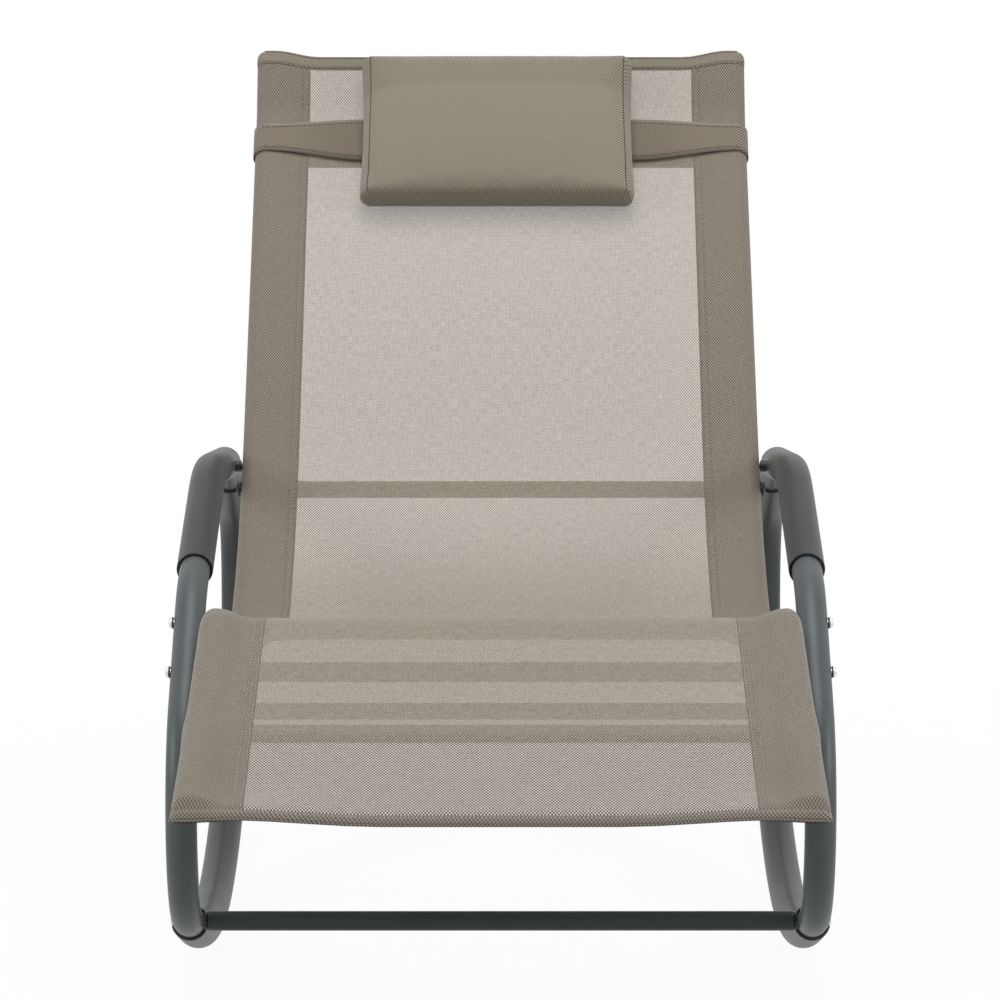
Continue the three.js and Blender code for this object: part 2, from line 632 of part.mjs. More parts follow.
// Both ends of the sleeves are sewn flat past the rails' ends, and the panel's head hem dips between them
function addSling() {
  const marks = panelRises.slice(1, -1).map(([share]) => share * railPath.total);
  const end = railPath.total - cloth.headTrim;
  const closings = [cloth.footClosing, end - cloth.headClosing];
  const path = railPath.withStations([...marks, ...closings]).between(0, end);
  const rings = path.stations.map((station, i) => {
    const [up, run] = [upFrom(station.tangent), path.distances[i]];
    const openness = Math.min(1, run / cloth.footClosing, (path.total - run) / cloth.headClosing);
    const dip = run < path.total ? 0 : cloth.headDip;
    return slingOutline(panelRise(run / railPath.total), openness).map((p) => {
      const drawn = Math.abs(p.x) > cloth.seam ? 0 : dip;
      return acrossAndUp(station, up, p).addScaledVector(station.tangent, -drawn);
    });
  });
  const cloth3d = closeEnds(loft(rings, true), slingOutline(panelRise(0), 0));
  addPiece('sling', cutBy(cloth3d, slingCuts()), meshFinish);
}

function slingCuts() {
  const wall = [railOuter - overrun, sleeveOuter + overrun];
  const flap = [cloth.flapEdge - overrun, railInner];
  const right = [
    drill(boltHole(backBolt), ...wall, backCross.point, detail.clothHoleSides),
    drill(boltHole(spreaderBolt), ...wall, backSpreaderPoint, detail.clothHoleSides),
    drill(legBolt.head / 2 + gap.bolt, ...wall, legSpreaderPoint, detail.clothHoleSides),
    drill(backSpreader.outer / 2 + gap.cut, ...flap, backSpreaderPoint, detail.clothHoleSides),
    drill(legSpreader.outer / 2 + gap.cut, ...flap, legSpreaderPoint, detail.clothHoleSides),
  ];
  const slotLength = 2 * (bracket.width + bracket.slotHeight / 2);
  const slot = new THREE.BoxGeometry(2 * overrun, slotLength, bracket.slotHeight);
  slot.applyMatrix4(new THREE.Matrix4().makeBasis(acrossX, railAtSeat, upFrom(railAtSeat)));
  right.push(placed(slot, sleeveOuter + overrun / 2, seatCross.point));
  return [...right, ...right.map(mirrored)];
}

// Pillow on its band

const headCorner = railCorners[5];
const headHeading = railCorners[6].clone().sub(headCorner).normalize();
const bandUp = upFrom(backHeading);

// A closed band, wide behind and beside the pillow and drawn narrow where it turns round the rails
function addBand() {
  const angles = [-75, -45, -15, 15, 45, 75].map(radians);
  const inside = rail.outer / 2 + gap.sleeve + cloth.thickness + gap.band;
  const outline = (radius) => {
    const turns = angles.map((angle) => new THREE.Vector2(
      rail.centre + flatSided(radius) * Math.cos(angle), flatSided(radius) * Math.sin(angle)));
    const beside = (height) => new THREE.Vector2(pillow.width / 2, height);
    const right = [beside(-radius), ...turns, beside(radius)];
    return [...right, ...right.toReversed().map((p) => new THREE.Vector2(-p.x, p.y))];
  };
  const middle = moved(headCorner, backHeading, -band.setback);
  const [outer, inner] = [outline(inside + band.thickness), outline(inside)];
  const rings = outer.map((p, i) => {
    const half = (Math.abs(p.x) > pillow.width / 2 ? band.railWidth : band.width) / 2;
    return [[p, -half], [p, half], [inner[i], half], [inner[i], -half]].map(([place, along]) => (
      acrossAndUp({ point: moved(middle, backHeading, along) }, bandUp, place)));
  });
  const loop = loft(rings, false);
  addPiece('pillow_strap', facesFrom(loop.points, loop.index), pillowFinish);
}

// The pillow's section across the chair: a flat back, a drawn-in side and a crowned face
function pillowOutline(share) {
  const lie = rail.outer / 2 + gap.sleeve + cloth.thickness + gap.band + band.thickness + gap.seat;
  const bulge = Math.sin(Math.PI * share) ** 0.6;
  const half = pillow.width / 2 - pillow.drawIn * Math.sin(Math.PI * share);
  const seam = half - pillow.seamInset;
  const edge = pillow.edge + pillow.swell * bulge;
  const face = pillowColumnShares.map((place) => new THREE.Vector2(
    seam * place, lie + edge + pillow.crown * bulge * (1 - place ** 3)));
  const side = [
    new THREE.Vector2(half - pillow.round, lie), new THREE.Vector2(half - pillow.round / 3, lie + edge / 6),
    new THREE.Vector2(half, lie + edge / 2), new THREE.Vector2(seam, lie + edge),
  ];
  const right = [...side, ...face];
  return [...right, ...right.toReversed().map((p) => new THREE.Vector2(-p.x, p.y))];
}

function addPillow() {
  const lowEnd = moved(headCorner, backHeading, -pillow.lower);
  const highEnd = moved(headCorner, headHeading, pillow.upper);
  const path = new BentPath([lowEnd, headCorner, highEnd], [rail.headBend]);
  const rings = pillowRowShares.map((share) => {
    const station = path.at(share * path.total);
    return pillowOutline(share).map((p) => acrossAndUp(station, upFrom(station.tangent), p));
  });
  addPiece('head_pillow', closeEnds(loft(rings, true), pillowOutline(0)), pillowFinish);
}

addSideFrames();
addBaseBars();
addRails();
addSpreaders();
addBrackets();
addSling();
addBand();
addPillow();

// The origin is on the floor, below the middle of the whole

const reach = new THREE.Box3().setFromObject(chaise, true);
chaise.position.set(0, -(reach.min.y + reach.max.y) / 2, -reach.min.z);
chaise.updateMatrixWorld(true);

export default chaise;
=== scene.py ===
"""Rocking chaise lounge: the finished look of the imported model.

Two closed side frames of bent tube roll on the floor. A mesh sling is sleeved on two bent rails that hang
inside them, and a stuffed pillow rides on a band round the rails. Lengths are in metres, +Z is up and the
foot end points to -Y.
"""

from __future__ import annotations

import json
import logging
import math
from dataclasses import dataclass, field
from enum import Enum
from functools import cached_property

import bmesh
import bpy
import numpy as np
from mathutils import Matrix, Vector
from mathutils.bvhtree import BVHTree

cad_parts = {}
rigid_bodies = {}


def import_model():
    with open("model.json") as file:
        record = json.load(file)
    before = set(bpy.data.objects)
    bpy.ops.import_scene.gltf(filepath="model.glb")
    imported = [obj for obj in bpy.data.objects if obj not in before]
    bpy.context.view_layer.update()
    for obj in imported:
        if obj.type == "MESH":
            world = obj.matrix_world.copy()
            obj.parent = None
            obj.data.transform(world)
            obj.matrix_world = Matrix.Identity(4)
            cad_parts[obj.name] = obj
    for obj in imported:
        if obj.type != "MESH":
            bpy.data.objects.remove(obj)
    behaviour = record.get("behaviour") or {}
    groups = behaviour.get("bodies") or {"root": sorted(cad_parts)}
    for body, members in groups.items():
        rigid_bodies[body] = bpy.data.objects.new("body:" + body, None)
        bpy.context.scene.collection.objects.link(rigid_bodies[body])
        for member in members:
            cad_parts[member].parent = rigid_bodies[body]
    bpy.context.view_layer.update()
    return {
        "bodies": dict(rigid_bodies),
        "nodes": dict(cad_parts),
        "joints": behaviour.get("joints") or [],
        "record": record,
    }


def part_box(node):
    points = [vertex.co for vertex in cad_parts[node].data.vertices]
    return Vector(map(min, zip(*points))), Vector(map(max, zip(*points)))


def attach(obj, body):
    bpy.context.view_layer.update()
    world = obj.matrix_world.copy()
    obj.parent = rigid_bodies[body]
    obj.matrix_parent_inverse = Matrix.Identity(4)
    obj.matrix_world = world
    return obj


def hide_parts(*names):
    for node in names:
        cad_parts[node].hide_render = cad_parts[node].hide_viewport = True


log = logging.getLogger("chaise")

Point = tuple[float, float]
Place = tuple[float, float, float]
Rgb = tuple[float, float, float]
Faces = list[tuple[int, ...]]
Station = tuple[np.ndarray, float]
Object = bpy.types.Object
Material = bpy.types.Material
Socket = bpy.types.NodeSocket

TUBE_SIDES = 48
TURNED_SIDES = 40
ROLL_SIDES = 8
ON_AXIS = 1e-7
PARALLEL = 1e-12
WHITE = (1.0, 1.0, 1.0)


class Side(Enum):
    """The two sides of the chair, each with its sign across it."""

    LEFT = -1
    RIGHT = 1

    @property
    def word(self) -> str:
        """The side's name as piece names spell it."""
        return self.name.lower()


class End(Enum):
    """The chair's foot end and head end, as piece names spell them."""

    FRONT = "front"
    REAR = "rear"


def rad(degrees: float) -> float:
    """An angle in radians."""
    return math.radians(degrees)


def heading(angle: float) -> np.ndarray:
    """The direction at an angle in the side plane, from +Y towards +Z."""
    return np.array([math.cos(angle), math.sin(angle)])


def up_from(direction: np.ndarray) -> np.ndarray:
    """A direction turned a quarter turn, towards the sitter's side."""
    return np.array([-direction[1], direction[0]])


def unit(way: np.ndarray) -> np.ndarray:
    """A direction of length one."""
    return way / np.linalg.norm(way)


def cross(a: np.ndarray, b: np.ndarray) -> float:
    """How far one direction in the side plane turns from another."""
    return a[0] * b[1] - a[1] * b[0]


def meet(p: np.ndarray, along_p: np.ndarray, q: np.ndarray, along_q: np.ndarray) -> np.ndarray:
    """Where a line through one point crosses a line through another, in the side plane."""
    return p + along_p * (cross(q - p, along_q) / cross(along_p, along_q))


def running(points: np.ndarray) -> np.ndarray:
    """Running lengths along a line of points."""
    return np.concatenate([[0.0], np.cumsum(np.linalg.norm(np.diff(points, axis=0), axis=1))])


def part_way(run: float, runs: np.ndarray, rows: np.ndarray) -> np.ndarray:
    """The row of values at a running length."""
    return np.array([np.interp(run, runs, rows[:, k]) for k in range(rows.shape[1])])


def ease(value: float) -> float:
    """A share from 0 to 1 with a soft start and end."""
    share = min(max(value, 0.0), 1.0)
    return share * share * (3 - 2 * share)


def round_turn(sides: int) -> np.ndarray:
    """The angles of a ring's points."""
    return np.linspace(0, 2 * math.pi, sides, endpoint=False)


@dataclass
class BentLine:
    """A tube's centre line in the side plane: points with their angles and running lengths."""

    points: np.ndarray
    angles: np.ndarray
    runs: np.ndarray = field(init=False)

    def __post_init__(self) -> None:
        """Unwinds the angles and measures the running lengths."""
        self.angles = np.unwrap(self.angles)
        self.runs = running(self.points)

    @classmethod
    def through(cls, stations: list[Station]) -> BentLine:
        """The line through a list of stations."""
        return cls(np.array([s[0] for s in stations]), np.array([s[1] for s in stations]))

    @classmethod
    def bent(cls, corners: list[np.ndarray], radii: tuple[float, ...], step: float = rad(2.5)) -> BentLine:
        """The line of a tube with a round bend at each inner corner.

        Args:
            corners: The ends, and between them the points where the straights would cross.
            radii: Each bend's radius.
            step: The widest angle between two stations of a bend.

        Returns:
            The line.
        """
        first = corners[1] - corners[0]
        stations = [(corners[0], math.atan2(first[1], first[0]))]
        for before, corner, after, radius in zip(corners, corners[1:], corners[2:], radii):
            into, out = unit(corner - before), unit(after - corner)
            turn = math.atan2(cross(into, out), float(into @ out))
            sign = math.copysign(1.0, turn)
            start = corner - into * radius * math.tan(abs(turn) / 2)
            centre = start + up_from(into) * radius * sign
            steps = max(2, round(abs(turn) / step))
            entry = math.atan2(into[1], into[0])
            angles = [entry + turn * k / steps for k in range(steps + 1)]
            stations += [(centre - up_from(heading(a)) * radius * sign, a) for a in angles]
        stations.append((corners[-1], stations[-1][1]))
        return cls.through(stations)

    @property
    def stations(self) -> list[Station]:
        """Each point with its angle."""
        return list(zip(self.points, self.angles))

    @property
    def total(self) -> float:
        """The whole length."""
        return float(self.runs[-1])

    def at(self, run: float) -> Station:
        """The point and angle at a running length."""
        return part_way(run, self.runs, self.points), float(np.interp(run, self.runs, self.angles))

    def between(self, start: float, end: float, pitch: float = 0.02) -> BentLine:
        """A part of the line.

        Args:
            start: Running length where the part starts.
            end: Running length where it ends.
            pitch: The longest step between two stations.

        Returns:
            The part as a line of its own.
        """
        marks = sorted({start, end, *(r for r in self.runs if start < r < end)})
        filled: list[float] = []
        for a, b in zip(marks, marks[1:]):
            count = max(1, math.ceil((b - a) / pitch))
            filled += [a + (b - a) * k / count for k in range(count)]
        return BentLine.through([self.at(r) for r in [*filled, end]])

    def crossings(self, other: BentLine) -> list[float]:
        """Where another line crosses this one.

        Args:
            other: The other line.

        Returns:
            Running lengths on this line, in order along +Y.
        """
        found = []
        for p, r, run in zip(self.points, np.diff(self.points, axis=0), self.runs):
            for q, s in zip(other.points, np.diff(other.points, axis=0)):
                if abs(cross(r, s)) < PARALLEL:
                    continue
                t, u = cross(q - p, s) / cross(r, s), cross(q - p, r) / cross(r, s)
                if 0 <= t < 1 and 0 <= u < 1:
                    found.append(((p + r * t)[0], float(run + t * np.linalg.norm(r))))
        return [run for _, run in sorted(found)]


@dataclass(frozen=True)
class Plan:
    """The chair's side profile: where every tube runs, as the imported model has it."""

    origin: Point = (0.000305, -0.000931)
    rail_x: float = 0.2632
    rail_corners: tuple[Point, ...] = (
        (-0.78296, 0.29702), (-0.55995, 0.34496), (-0.35507, 0.39899), (0.08495, 0.30303),
        (0.31993, 0.38196), (0.74293, 0.81402), (0.77807, 0.89))
    rail_bends: tuple[float, ...] = (1.5, 0.09, 0.28, 0.65, 0.09)
    arm_corners: tuple[Point, ...] = ((-0.08384, 0.38949), (0.20992, 0.47452), (0.53994, 0.44648))
    arm_bends: tuple[float, ...] = (0.12, 0.15, 0.3, 0.2)
    arm_rise: float = 36.0
    runner_radius: float = 0.96
    runner_foot: float = 2.5
    runner_step: float = 1.5
    rear_bends: tuple[float, ...] = (0.1, 0.105)
    contact: float = 0.19007
    rear: float = 0.72795
    half_tube: float = 0.018
    front_angle: float = 16.3
    rear_angle: float = 28.6
    mouth_angle: float = 26.0
    front_straight: float = 0.0705
    mouth_reach: float = 0.0534
    insert: float = 0.049

    def place(self, point: Point) -> np.ndarray:
        """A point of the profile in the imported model's frame."""
        return np.array(point) + np.array(self.origin)

    def on_runner(self, degrees: float) -> np.ndarray:
        """A point of the runner's arc, by its heading."""
        centre = self.place((self.contact, self.half_tube + self.runner_radius))
        return centre - up_from(heading(rad(degrees))) * self.runner_radius

    def rail(self) -> BentLine:
        """The rails' centre line, foot to head."""
        return BentLine.bent([self.place(p) for p in self.rail_corners], self.rail_bends)

    def back_heading(self) -> np.ndarray:
        """The direction of the rails' straight back."""
        return unit(self.place(self.rail_corners[5]) - self.place(self.rail_corners[4]))

    def front_mouth(self) -> tuple[np.ndarray, np.ndarray]:
        """The runner's front mouth and the direction into it."""
        inward = heading(rad(-self.front_angle))
        return self.on_runner(-self.front_angle) - inward * self.front_straight, inward

    def rear_mouth(self) -> tuple[np.ndarray, np.ndarray]:
        """The runner's rear mouth and the direction into it."""
        inward = heading(rad(-self.mouth_angle))
        return self.place(self.arm_corners[2]) + inward * self.mouth_reach, inward

    def arm(self) -> BentLine:
        """The arm tube's centre line.

        Returns:
            The line from the front insert round the nose to the rear insert.
        """
        mouth, inward = self.front_mouth()
        rear, rear_inward = self.rear_mouth()
        wrist, crest, elbow = (self.place(p) for p in self.arm_corners)
        nose = meet(mouth, inward, wrist, heading(rad(self.arm_rise)))
        ends = [mouth + inward * self.insert, nose, wrist, crest, elbow, rear + rear_inward * self.insert]
        return BentLine.bent(ends, self.arm_bends)

    def runner(self) -> BentLine:
        """The rocker tube's centre line.

        Returns:
            The line from the front mouth over the floor to the rear mouth.
        """
        mouth, front = self.front_mouth()
        rear_mouth, top = self.rear_mouth()
        back, plumb = heading(rad(self.rear_angle)), heading(rad(90))
        down, up = heading(rad(-self.runner_foot)), heading(rad(self.runner_foot))
        toe, heel = self.on_runner(-self.runner_foot), self.on_runner(self.runner_foot)
        rear, upright = self.on_runner(self.rear_angle), self.place((self.rear, 0.0))
        sole, step = (self.runner_radius,), rad(self.runner_step)
        fore_corner = meet(self.on_runner(-self.front_angle), front, toe, down)
        fore = BentLine.bent([mouth, fore_corner, toe], sole, step)
        aft = BentLine.bent([heel, meet(heel, up, rear, back), rear], sole, step)
        high = meet(rear_mouth, top, upright, plumb)
        rise = BentLine.bent([rear, meet(rear, back, upright, plumb), high, rear_mouth], self.rear_bends)
        return BentLine.through([*fore.stations[:-1], *aft.stations[1:-1], *rise.stations[1:]])


def mesh_piece(name: str, points: np.ndarray, faces: Faces) -> Object:
    """Makes a smooth piece from points and faces.

    Args:
        name: The piece's name.
        points: Its points, in metres.
        faces: Its faces as tuples of point numbers.

    Returns:
        The new object, linked to the scene.
    """
    mesh = bpy.data.meshes.new(name)
    mesh.from_pydata([tuple(map(float, p)) for p in points], [], faces)
    mesh.validate()
    mesh.update()
    mesh.polygons.foreach_set("use_smooth", [True] * len(mesh.polygons))
    piece = bpy.data.objects.new(name, mesh)
    bpy.context.scene.collection.objects.link(piece)
    return piece


def closed_piece(name: str, points: np.ndarray, faces: Faces, sharp: float = 180.0) -> Object:
    """Makes a closed piece whose faces look outward.

    Args:
        name: The piece's name.
        points: Its points, in metres.
        faces: Its faces as tuples of point numbers.
        sharp: The angle in degrees past which an edge is shaded sharp.

    Returns:
        The new object, linked to the scene.
    """
    piece = mesh_piece(name, points, faces)
    work = bmesh.new()
    work.from_mesh(piece.data)
    bmesh.ops.recalc_face_normals(work, faces=work.faces)
    work.to_mesh(piece.data)
    work.free()
    if sharp < 180:
        piece.data.set_sharp_from_angle(angle=rad(sharp))
    return piece


def grid_faces(rows: int, count: int) -> Faces:
    """Faces between rows of points that don't close on themselves."""
    return [(r * count + k, r * count + k + 1, (r + 1) * count + k + 1, (r + 1) * count + k)
            for r in range(rows - 1) for k in range(count - 1)]


def ring_faces(rings: int, count: int, closed: bool) -> Faces:
    """Faces between rings of points.

    Args:
        rings: How many rings there are.
        count: Points in each ring.
        closed: Whether the last ring joins the first.

    Returns:
        The faces.
    """
    faces = []
    for r in range(rings if closed else rings - 1):
        low, high = r * count, ((r + 1) % rings) * count
        for k in range(count):
            n = (k + 1) % count
            faces.append((low + k, low + n, high + n, high + k))
    return faces


def wall_piece(name: str, x: float, rings: list[tuple[np.ndarray, float, float]], sharp: float) -> Object:
    """A round wall about a line in the side plane, closed on itself.

    Args:
        name: The piece's name.
        x: The line's place across the chair.
        rings: Each ring's middle, the line's angle there and the ring's radius.
        sharp: The angle in degrees past which an edge is shaded sharp.

    Returns:
        The wall.
    """
    turn = round_turn(TUBE_SIDES)
    points = []
    for middle, tilt, radius in rings:
        flat = middle + (radius * np.sin(turn))[:, None] * up_from(heading(tilt))
        points.append(np.column_stack([x + radius * np.cos(turn), flat]))
    return closed_piece(name, np.concatenate(points), ring_faces(len(rings), TUBE_SIDES, True), sharp)


def turned_piece(name: str, profile: list[Point], x: float, middle: np.ndarray, sign: int = 1) -> Object:
    """A turned piece with its axis across the chair.

    Args:
        name: The piece's name.
        profile: Pairs of radius and place along the axis, closed on itself or on the axis.
        x: The axis place that the profile's zero lies at.
        middle: The axis's place in the side plane.
        sign: Whether the profile points to +X or -X.

    Returns:
        The piece.
    """
    turn = round_turn(TURNED_SIDES)
    points: list[Place] = []
    rings = []
    for radius, place in profile:
        spots = [(x + sign * place, middle[0] + radius * math.cos(a), middle[1] + radius * math.sin(a))
                 for a in (turn if radius > ON_AXIS else turn[:1])]
        rings.append(range(len(points), len(points) + len(spots)))
        points += spots
    closed = profile[0][0] > ON_AXIS
    faces = []
    for low, high in zip(rings, [*rings[1:], rings[0]] if closed else rings[1:]):
        for k in range(TURNED_SIDES):
            n = (k + 1) % TURNED_SIDES
            corners = (low[k % len(low)], low[n % len(low)], high[n % len(high)], high[k % len(high)])
            unique = tuple(dict.fromkeys(corners))
            if len(unique) > 2:
                faces.append(unique)
    return closed_piece(name, points, faces, sharp=40)


def dome(head: float, height: float, shank: float, reach: float) -> list[Point]:
    """The profile of a domed bolt.

    Args:
        head: The head's radius.
        height: The head's height.
        shank: The shank's radius.
        reach: The shank's length under the head.

    Returns:
        The profile, the head's seat at zero.
    """
    rim, under, chamfer = 0.3, 0.95, 0.08
    arc = [(head * math.cos(a), height * (rim + (1 - rim) * math.sin(a)))
           for a in np.linspace(0, math.pi / 2, 9)]
    arc[-1] = (0.0, height)
    return [(0.0, -reach), (shank, -reach), (shank, 0.0), (head * under, 0.0), (head, height * chamfer), *arc]


def fine_roll(name: str, points: np.ndarray, radius: float) -> Object:
    """A thin round roll along any line, such as a hem's fold or a seam.

    Args:
        name: The piece's name.
        points: Points along its middle.
        radius: Its radius.

    Returns:
        The roll.
    """
    ahead = np.gradient(points, axis=0)
    ahead /= np.linalg.norm(ahead, axis=1)[:, None]
    turn = round_turn(ROLL_SIDES)[:, None]
    aslant = (0.0, 0.31, 0.95)
    side = np.cross(ahead[0], aslant)
    rings = []
    for spot, way in zip(points, ahead):
        side = unit(side - way * float(side @ way))
        rings.append(spot + radius * (np.cos(turn) * side + np.sin(turn) * np.cross(way, side)))
    last = (len(rings) - 1) * ROLL_SIDES
    faces = [*ring_faces(len(rings), ROLL_SIDES, False), tuple(range(ROLL_SIDES)),
             tuple(range(last + ROLL_SIDES - 1, last - 1, -1))]
    return closed_piece(name, np.concatenate(rings), faces)


@dataclass(frozen=True)
class Stitching:
    """A sewing thread's stitches, raised from the cloth."""

    stitch: float = 0.0042
    space: float = 0.0018
    half_width: float = 0.00035
    height: float = 0.0004
    hoop: tuple[Point, ...] = ((-1.0, 0.0), (-0.6, 0.8), (0.0, 1.0), (0.6, 0.8), (1.0, 0.0))

    def row(self, name: str, points: np.ndarray, normals: np.ndarray) -> Object:
        """Sews a row along a surface.

        Args:
            name: The piece's name.
            points: Points along the row.
            normals: The surface's normal at each point.

        Returns:
            The stitches as one piece.
        """
        runs, count = running(points), len(self.hoop)
        verts: list[np.ndarray] = []
        faces: Faces = []
        for start in np.arange(self.space, runs[-1] - self.stitch, self.stitch + self.space):
            first = len(verts)
            ends = [part_way(run, runs, points) for run in (start, start + self.stitch)]
            along = unit(ends[1] - ends[0])
            for spot, run in zip(ends, (start, start + self.stitch)):
                normal = part_way(run, runs, normals)
                across = np.cross(along, normal) * self.half_width
                verts += [spot + across * aside + normal * rise * self.height for aside, rise in self.hoop]
            near = range(first, first + count)
            far = range(first + count, first + 2 * count)
            faces += [(near[k], near[k + 1], far[k + 1], far[k]) for k in range(count - 1)]
            faces += [(near[0], far[0], far[-1], near[-1]), tuple(reversed(near)), tuple(far)]
        return closed_piece(name, np.array(verts), faces)


class Nodes:
    """A small helper that strings a shader's nodes together."""

    def __init__(self, owner: bpy.types.ID, output: str = "ShaderNodeOutputMaterial") -> None:
        """Clears the owner's nodes and adds its output.

        Args:
            owner: The material or world.
            output: The kind of its output node.
        """
        owner.use_nodes = True
        self.owner, self.tree = owner, owner.node_tree
        self.tree.nodes.clear()
        self.out = self.tree.nodes.new(output)

    def feed(self, socket: Socket, value: object) -> None:
        """Links a socket, or gives it a value.

        Args:
            socket: The input socket.
            value: Another node's socket, a number, a vector or an RGB triple.
        """
        if isinstance(value, Socket):
            self.tree.links.new(value, socket)
        else:
            socket.default_value = (*value, 1.0) if socket.type == "RGBA" else value

    def add(self, kind: str, feeds: dict, out: int | str = 0, **settings: object) -> Socket:
        """Adds a node.

        Args:
            kind: The node's type.
            feeds: What each input is given, by its number or name.
            out: The output that is asked for, by its number or name.
            settings: The node's own settings by name.

        Returns:
            The output.
        """
        node = self.tree.nodes.new(kind)
        for key, value in settings.items():
            setattr(node, key, value)
        for key, value in feeds.items():
            self.feed(node.inputs[key], value)
        return node.outputs[out]

    def math(self, operation: str, *values: object) -> Socket:
        """The result of a Math node on sockets or numbers."""
        return self.add("ShaderNodeMath", dict(enumerate(values)), operation=operation)

    def blend(self, factor: Socket, a: object, b: object) -> Socket:
        """A mix of two colours, each a socket or an RGB triple."""
        return self.add("ShaderNodeMix", {0: factor, 6: a, 7: b}, 2, data_type="RGBA", clamp_factor=False)

    def pick(self, factor: Socket, a: Socket, b: Socket) -> Socket:
        """A mix of two numbers."""
        return self.add("ShaderNodeMix", {0: factor, 2: a, 3: b}, data_type="FLOAT", clamp_factor=False)

    def clamp(self, value: Socket, low: float = 0.0, high: float = 1.0) -> Socket:
        """A number kept between two limits."""
        return self.add("ShaderNodeClamp", {0: value, 1: low, 2: high})

    def place(self) -> Socket:
        """The place in the object's own space."""
        return self.add("ShaderNodeTexCoord", {}, "Object")

    def noise(self, scale: float, detail: float, where: Socket | None = None) -> Socket:
        """A noise read at a place, or else in the object's own space."""
        where = self.place() if where is None else where
        return self.add("ShaderNodeTexNoise", {"Vector": where, "Scale": scale, "Detail": detail})

    def mark(self, name: str) -> Socket:
        """A number that the mesh holds at its points."""
        return self.add("ShaderNodeAttribute", {}, "Fac", attribute_name=name)

    def split(self, place: Socket) -> list[Socket]:
        """A place's three numbers."""
        return list(self.add("ShaderNodeSeparateXYZ", {0: place}).node.outputs)

    def wave(self, run: Socket, turn: float) -> Socket:
        """A wave along a running length."""
        return self.math("SINE", self.math("MULTIPLY", run, turn))

    def bump(self, height: Socket, strength: float, distance: float) -> Socket:
        """The normal of a bump."""
        feeds = {"Height": height, "Strength": strength, "Distance": distance}
        return self.add("ShaderNodeBump", feeds, "Normal")

    def background_rays(self) -> Socket:
        """Tells the rays that see the background.

        Returns:
            One for a ray from the camera, off a gloss or through a hole, and none for other rays.
        """
        path = self.add("ShaderNodeLightPath", {}).node.outputs
        seen = self.math("MAXIMUM", path["Is Camera Ray"], path["Is Glossy Ray"])
        return self.math("MAXIMUM", seen, path["Is Transmission Ray"])

    def mix(self, share: Socket, low: Socket, high: Socket) -> Socket:
        """A mix of two shaders."""
        return self.add("ShaderNodeMixShader", {0: share, 1: low, 2: high})

    def close(self, shader: Socket) -> bpy.types.ID:
        """Links the last shader to the output, and gives the owner."""
        self.feed(self.out.inputs[0], shader)
        return self.owner


def linear(srgb: Rgb, share: float = 1.0) -> Rgb:
    """A share of a colour given as it looks, 0 to 255, as linear light."""
    light = ((c / 255 / 12.92) if c <= 10 else ((c / 255 + 0.055) / 1.055) ** 2.4 for c in srgb)
    return tuple(c * share for c in light)


@dataclass(frozen=True)
class PaintedSteel:
    """Powder-coated tube: a satin coat with faint cloudiness and a fine orange peel."""

    name: str
    colour: Rgb
    roughness: float
    metallic: float = 0.0
    shine: float = 0.4
    sheen: float = 0.0
    relief: float = 0.02
    relief_depth: float = 0.0004
    cloud: Point = (38.0, 3.0)
    cloud_tones: Point = (0.86, 1.0)
    grain: Point = (900.0, 2.0)
    uneven_gloss: float = 0.12

    def build(self) -> Material:
        """Makes the material.

        Returns:
            The new material.
        """
        n = Nodes(bpy.data.materials.new(self.name))
        cloud, grain = n.noise(*self.cloud), n.noise(*self.grain)
        dark, pale = (linear(self.colour, tone) for tone in self.cloud_tones)
        smoothest = self.roughness - self.uneven_gloss / 2
        return n.close(n.add("ShaderNodeBsdfPrincipled", {
            "Base Color": n.blend(cloud, dark, pale),
            "Metallic": self.metallic,
            "Roughness": n.math("MULTIPLY_ADD", grain, self.uneven_gloss, smoothest),
            "Specular IOR Level": self.shine,
            "Sheen Weight": self.sheen,
            "Normal": n.bump(grain, self.relief, self.relief_depth)}))


@dataclass(frozen=True)
class Moulded(PaintedSteel):
    """Moulded plastic, rubber or thread: no metal in it, and a fine stipple in place of the orange peel."""

    relief: float = 0.25
    relief_depth: float = 0.0003
    cloud: Point = (22.0, 4.0)
    cloud_tones: Point = (0.85, 1.1)
    grain: Point = (1400.0, 1.0)
    uneven_gloss: float = 0.16


@dataclass(frozen=True)
class Plated:
    """Bright plated steel with faint turning lines."""

    name: str
    colour: Rgb
    smoothest: float = 0.11
    uneven_gloss: float = 0.14
    gloss_patches: Point = (300.0, 3.0)
    lines: Point = (1800.0, 2.0)
    relief: float = 0.05
    relief_depth: float = 0.0002

    def build(self) -> Material:
        """Makes the material.

        Returns:
            The new material.
        """
        n = Nodes(bpy.data.materials.new(self.name))
        patches = n.noise(*self.gloss_patches)
        return n.close(n.add("ShaderNodeBsdfPrincipled", {
            "Base Color": linear(self.colour),
            "Metallic": 1.0,
            "Roughness": n.math("MULTIPLY_ADD", patches, self.uneven_gloss, self.smoothest),
            "Normal": n.bump(n.noise(*self.lines), self.relief, self.relief_depth)}))


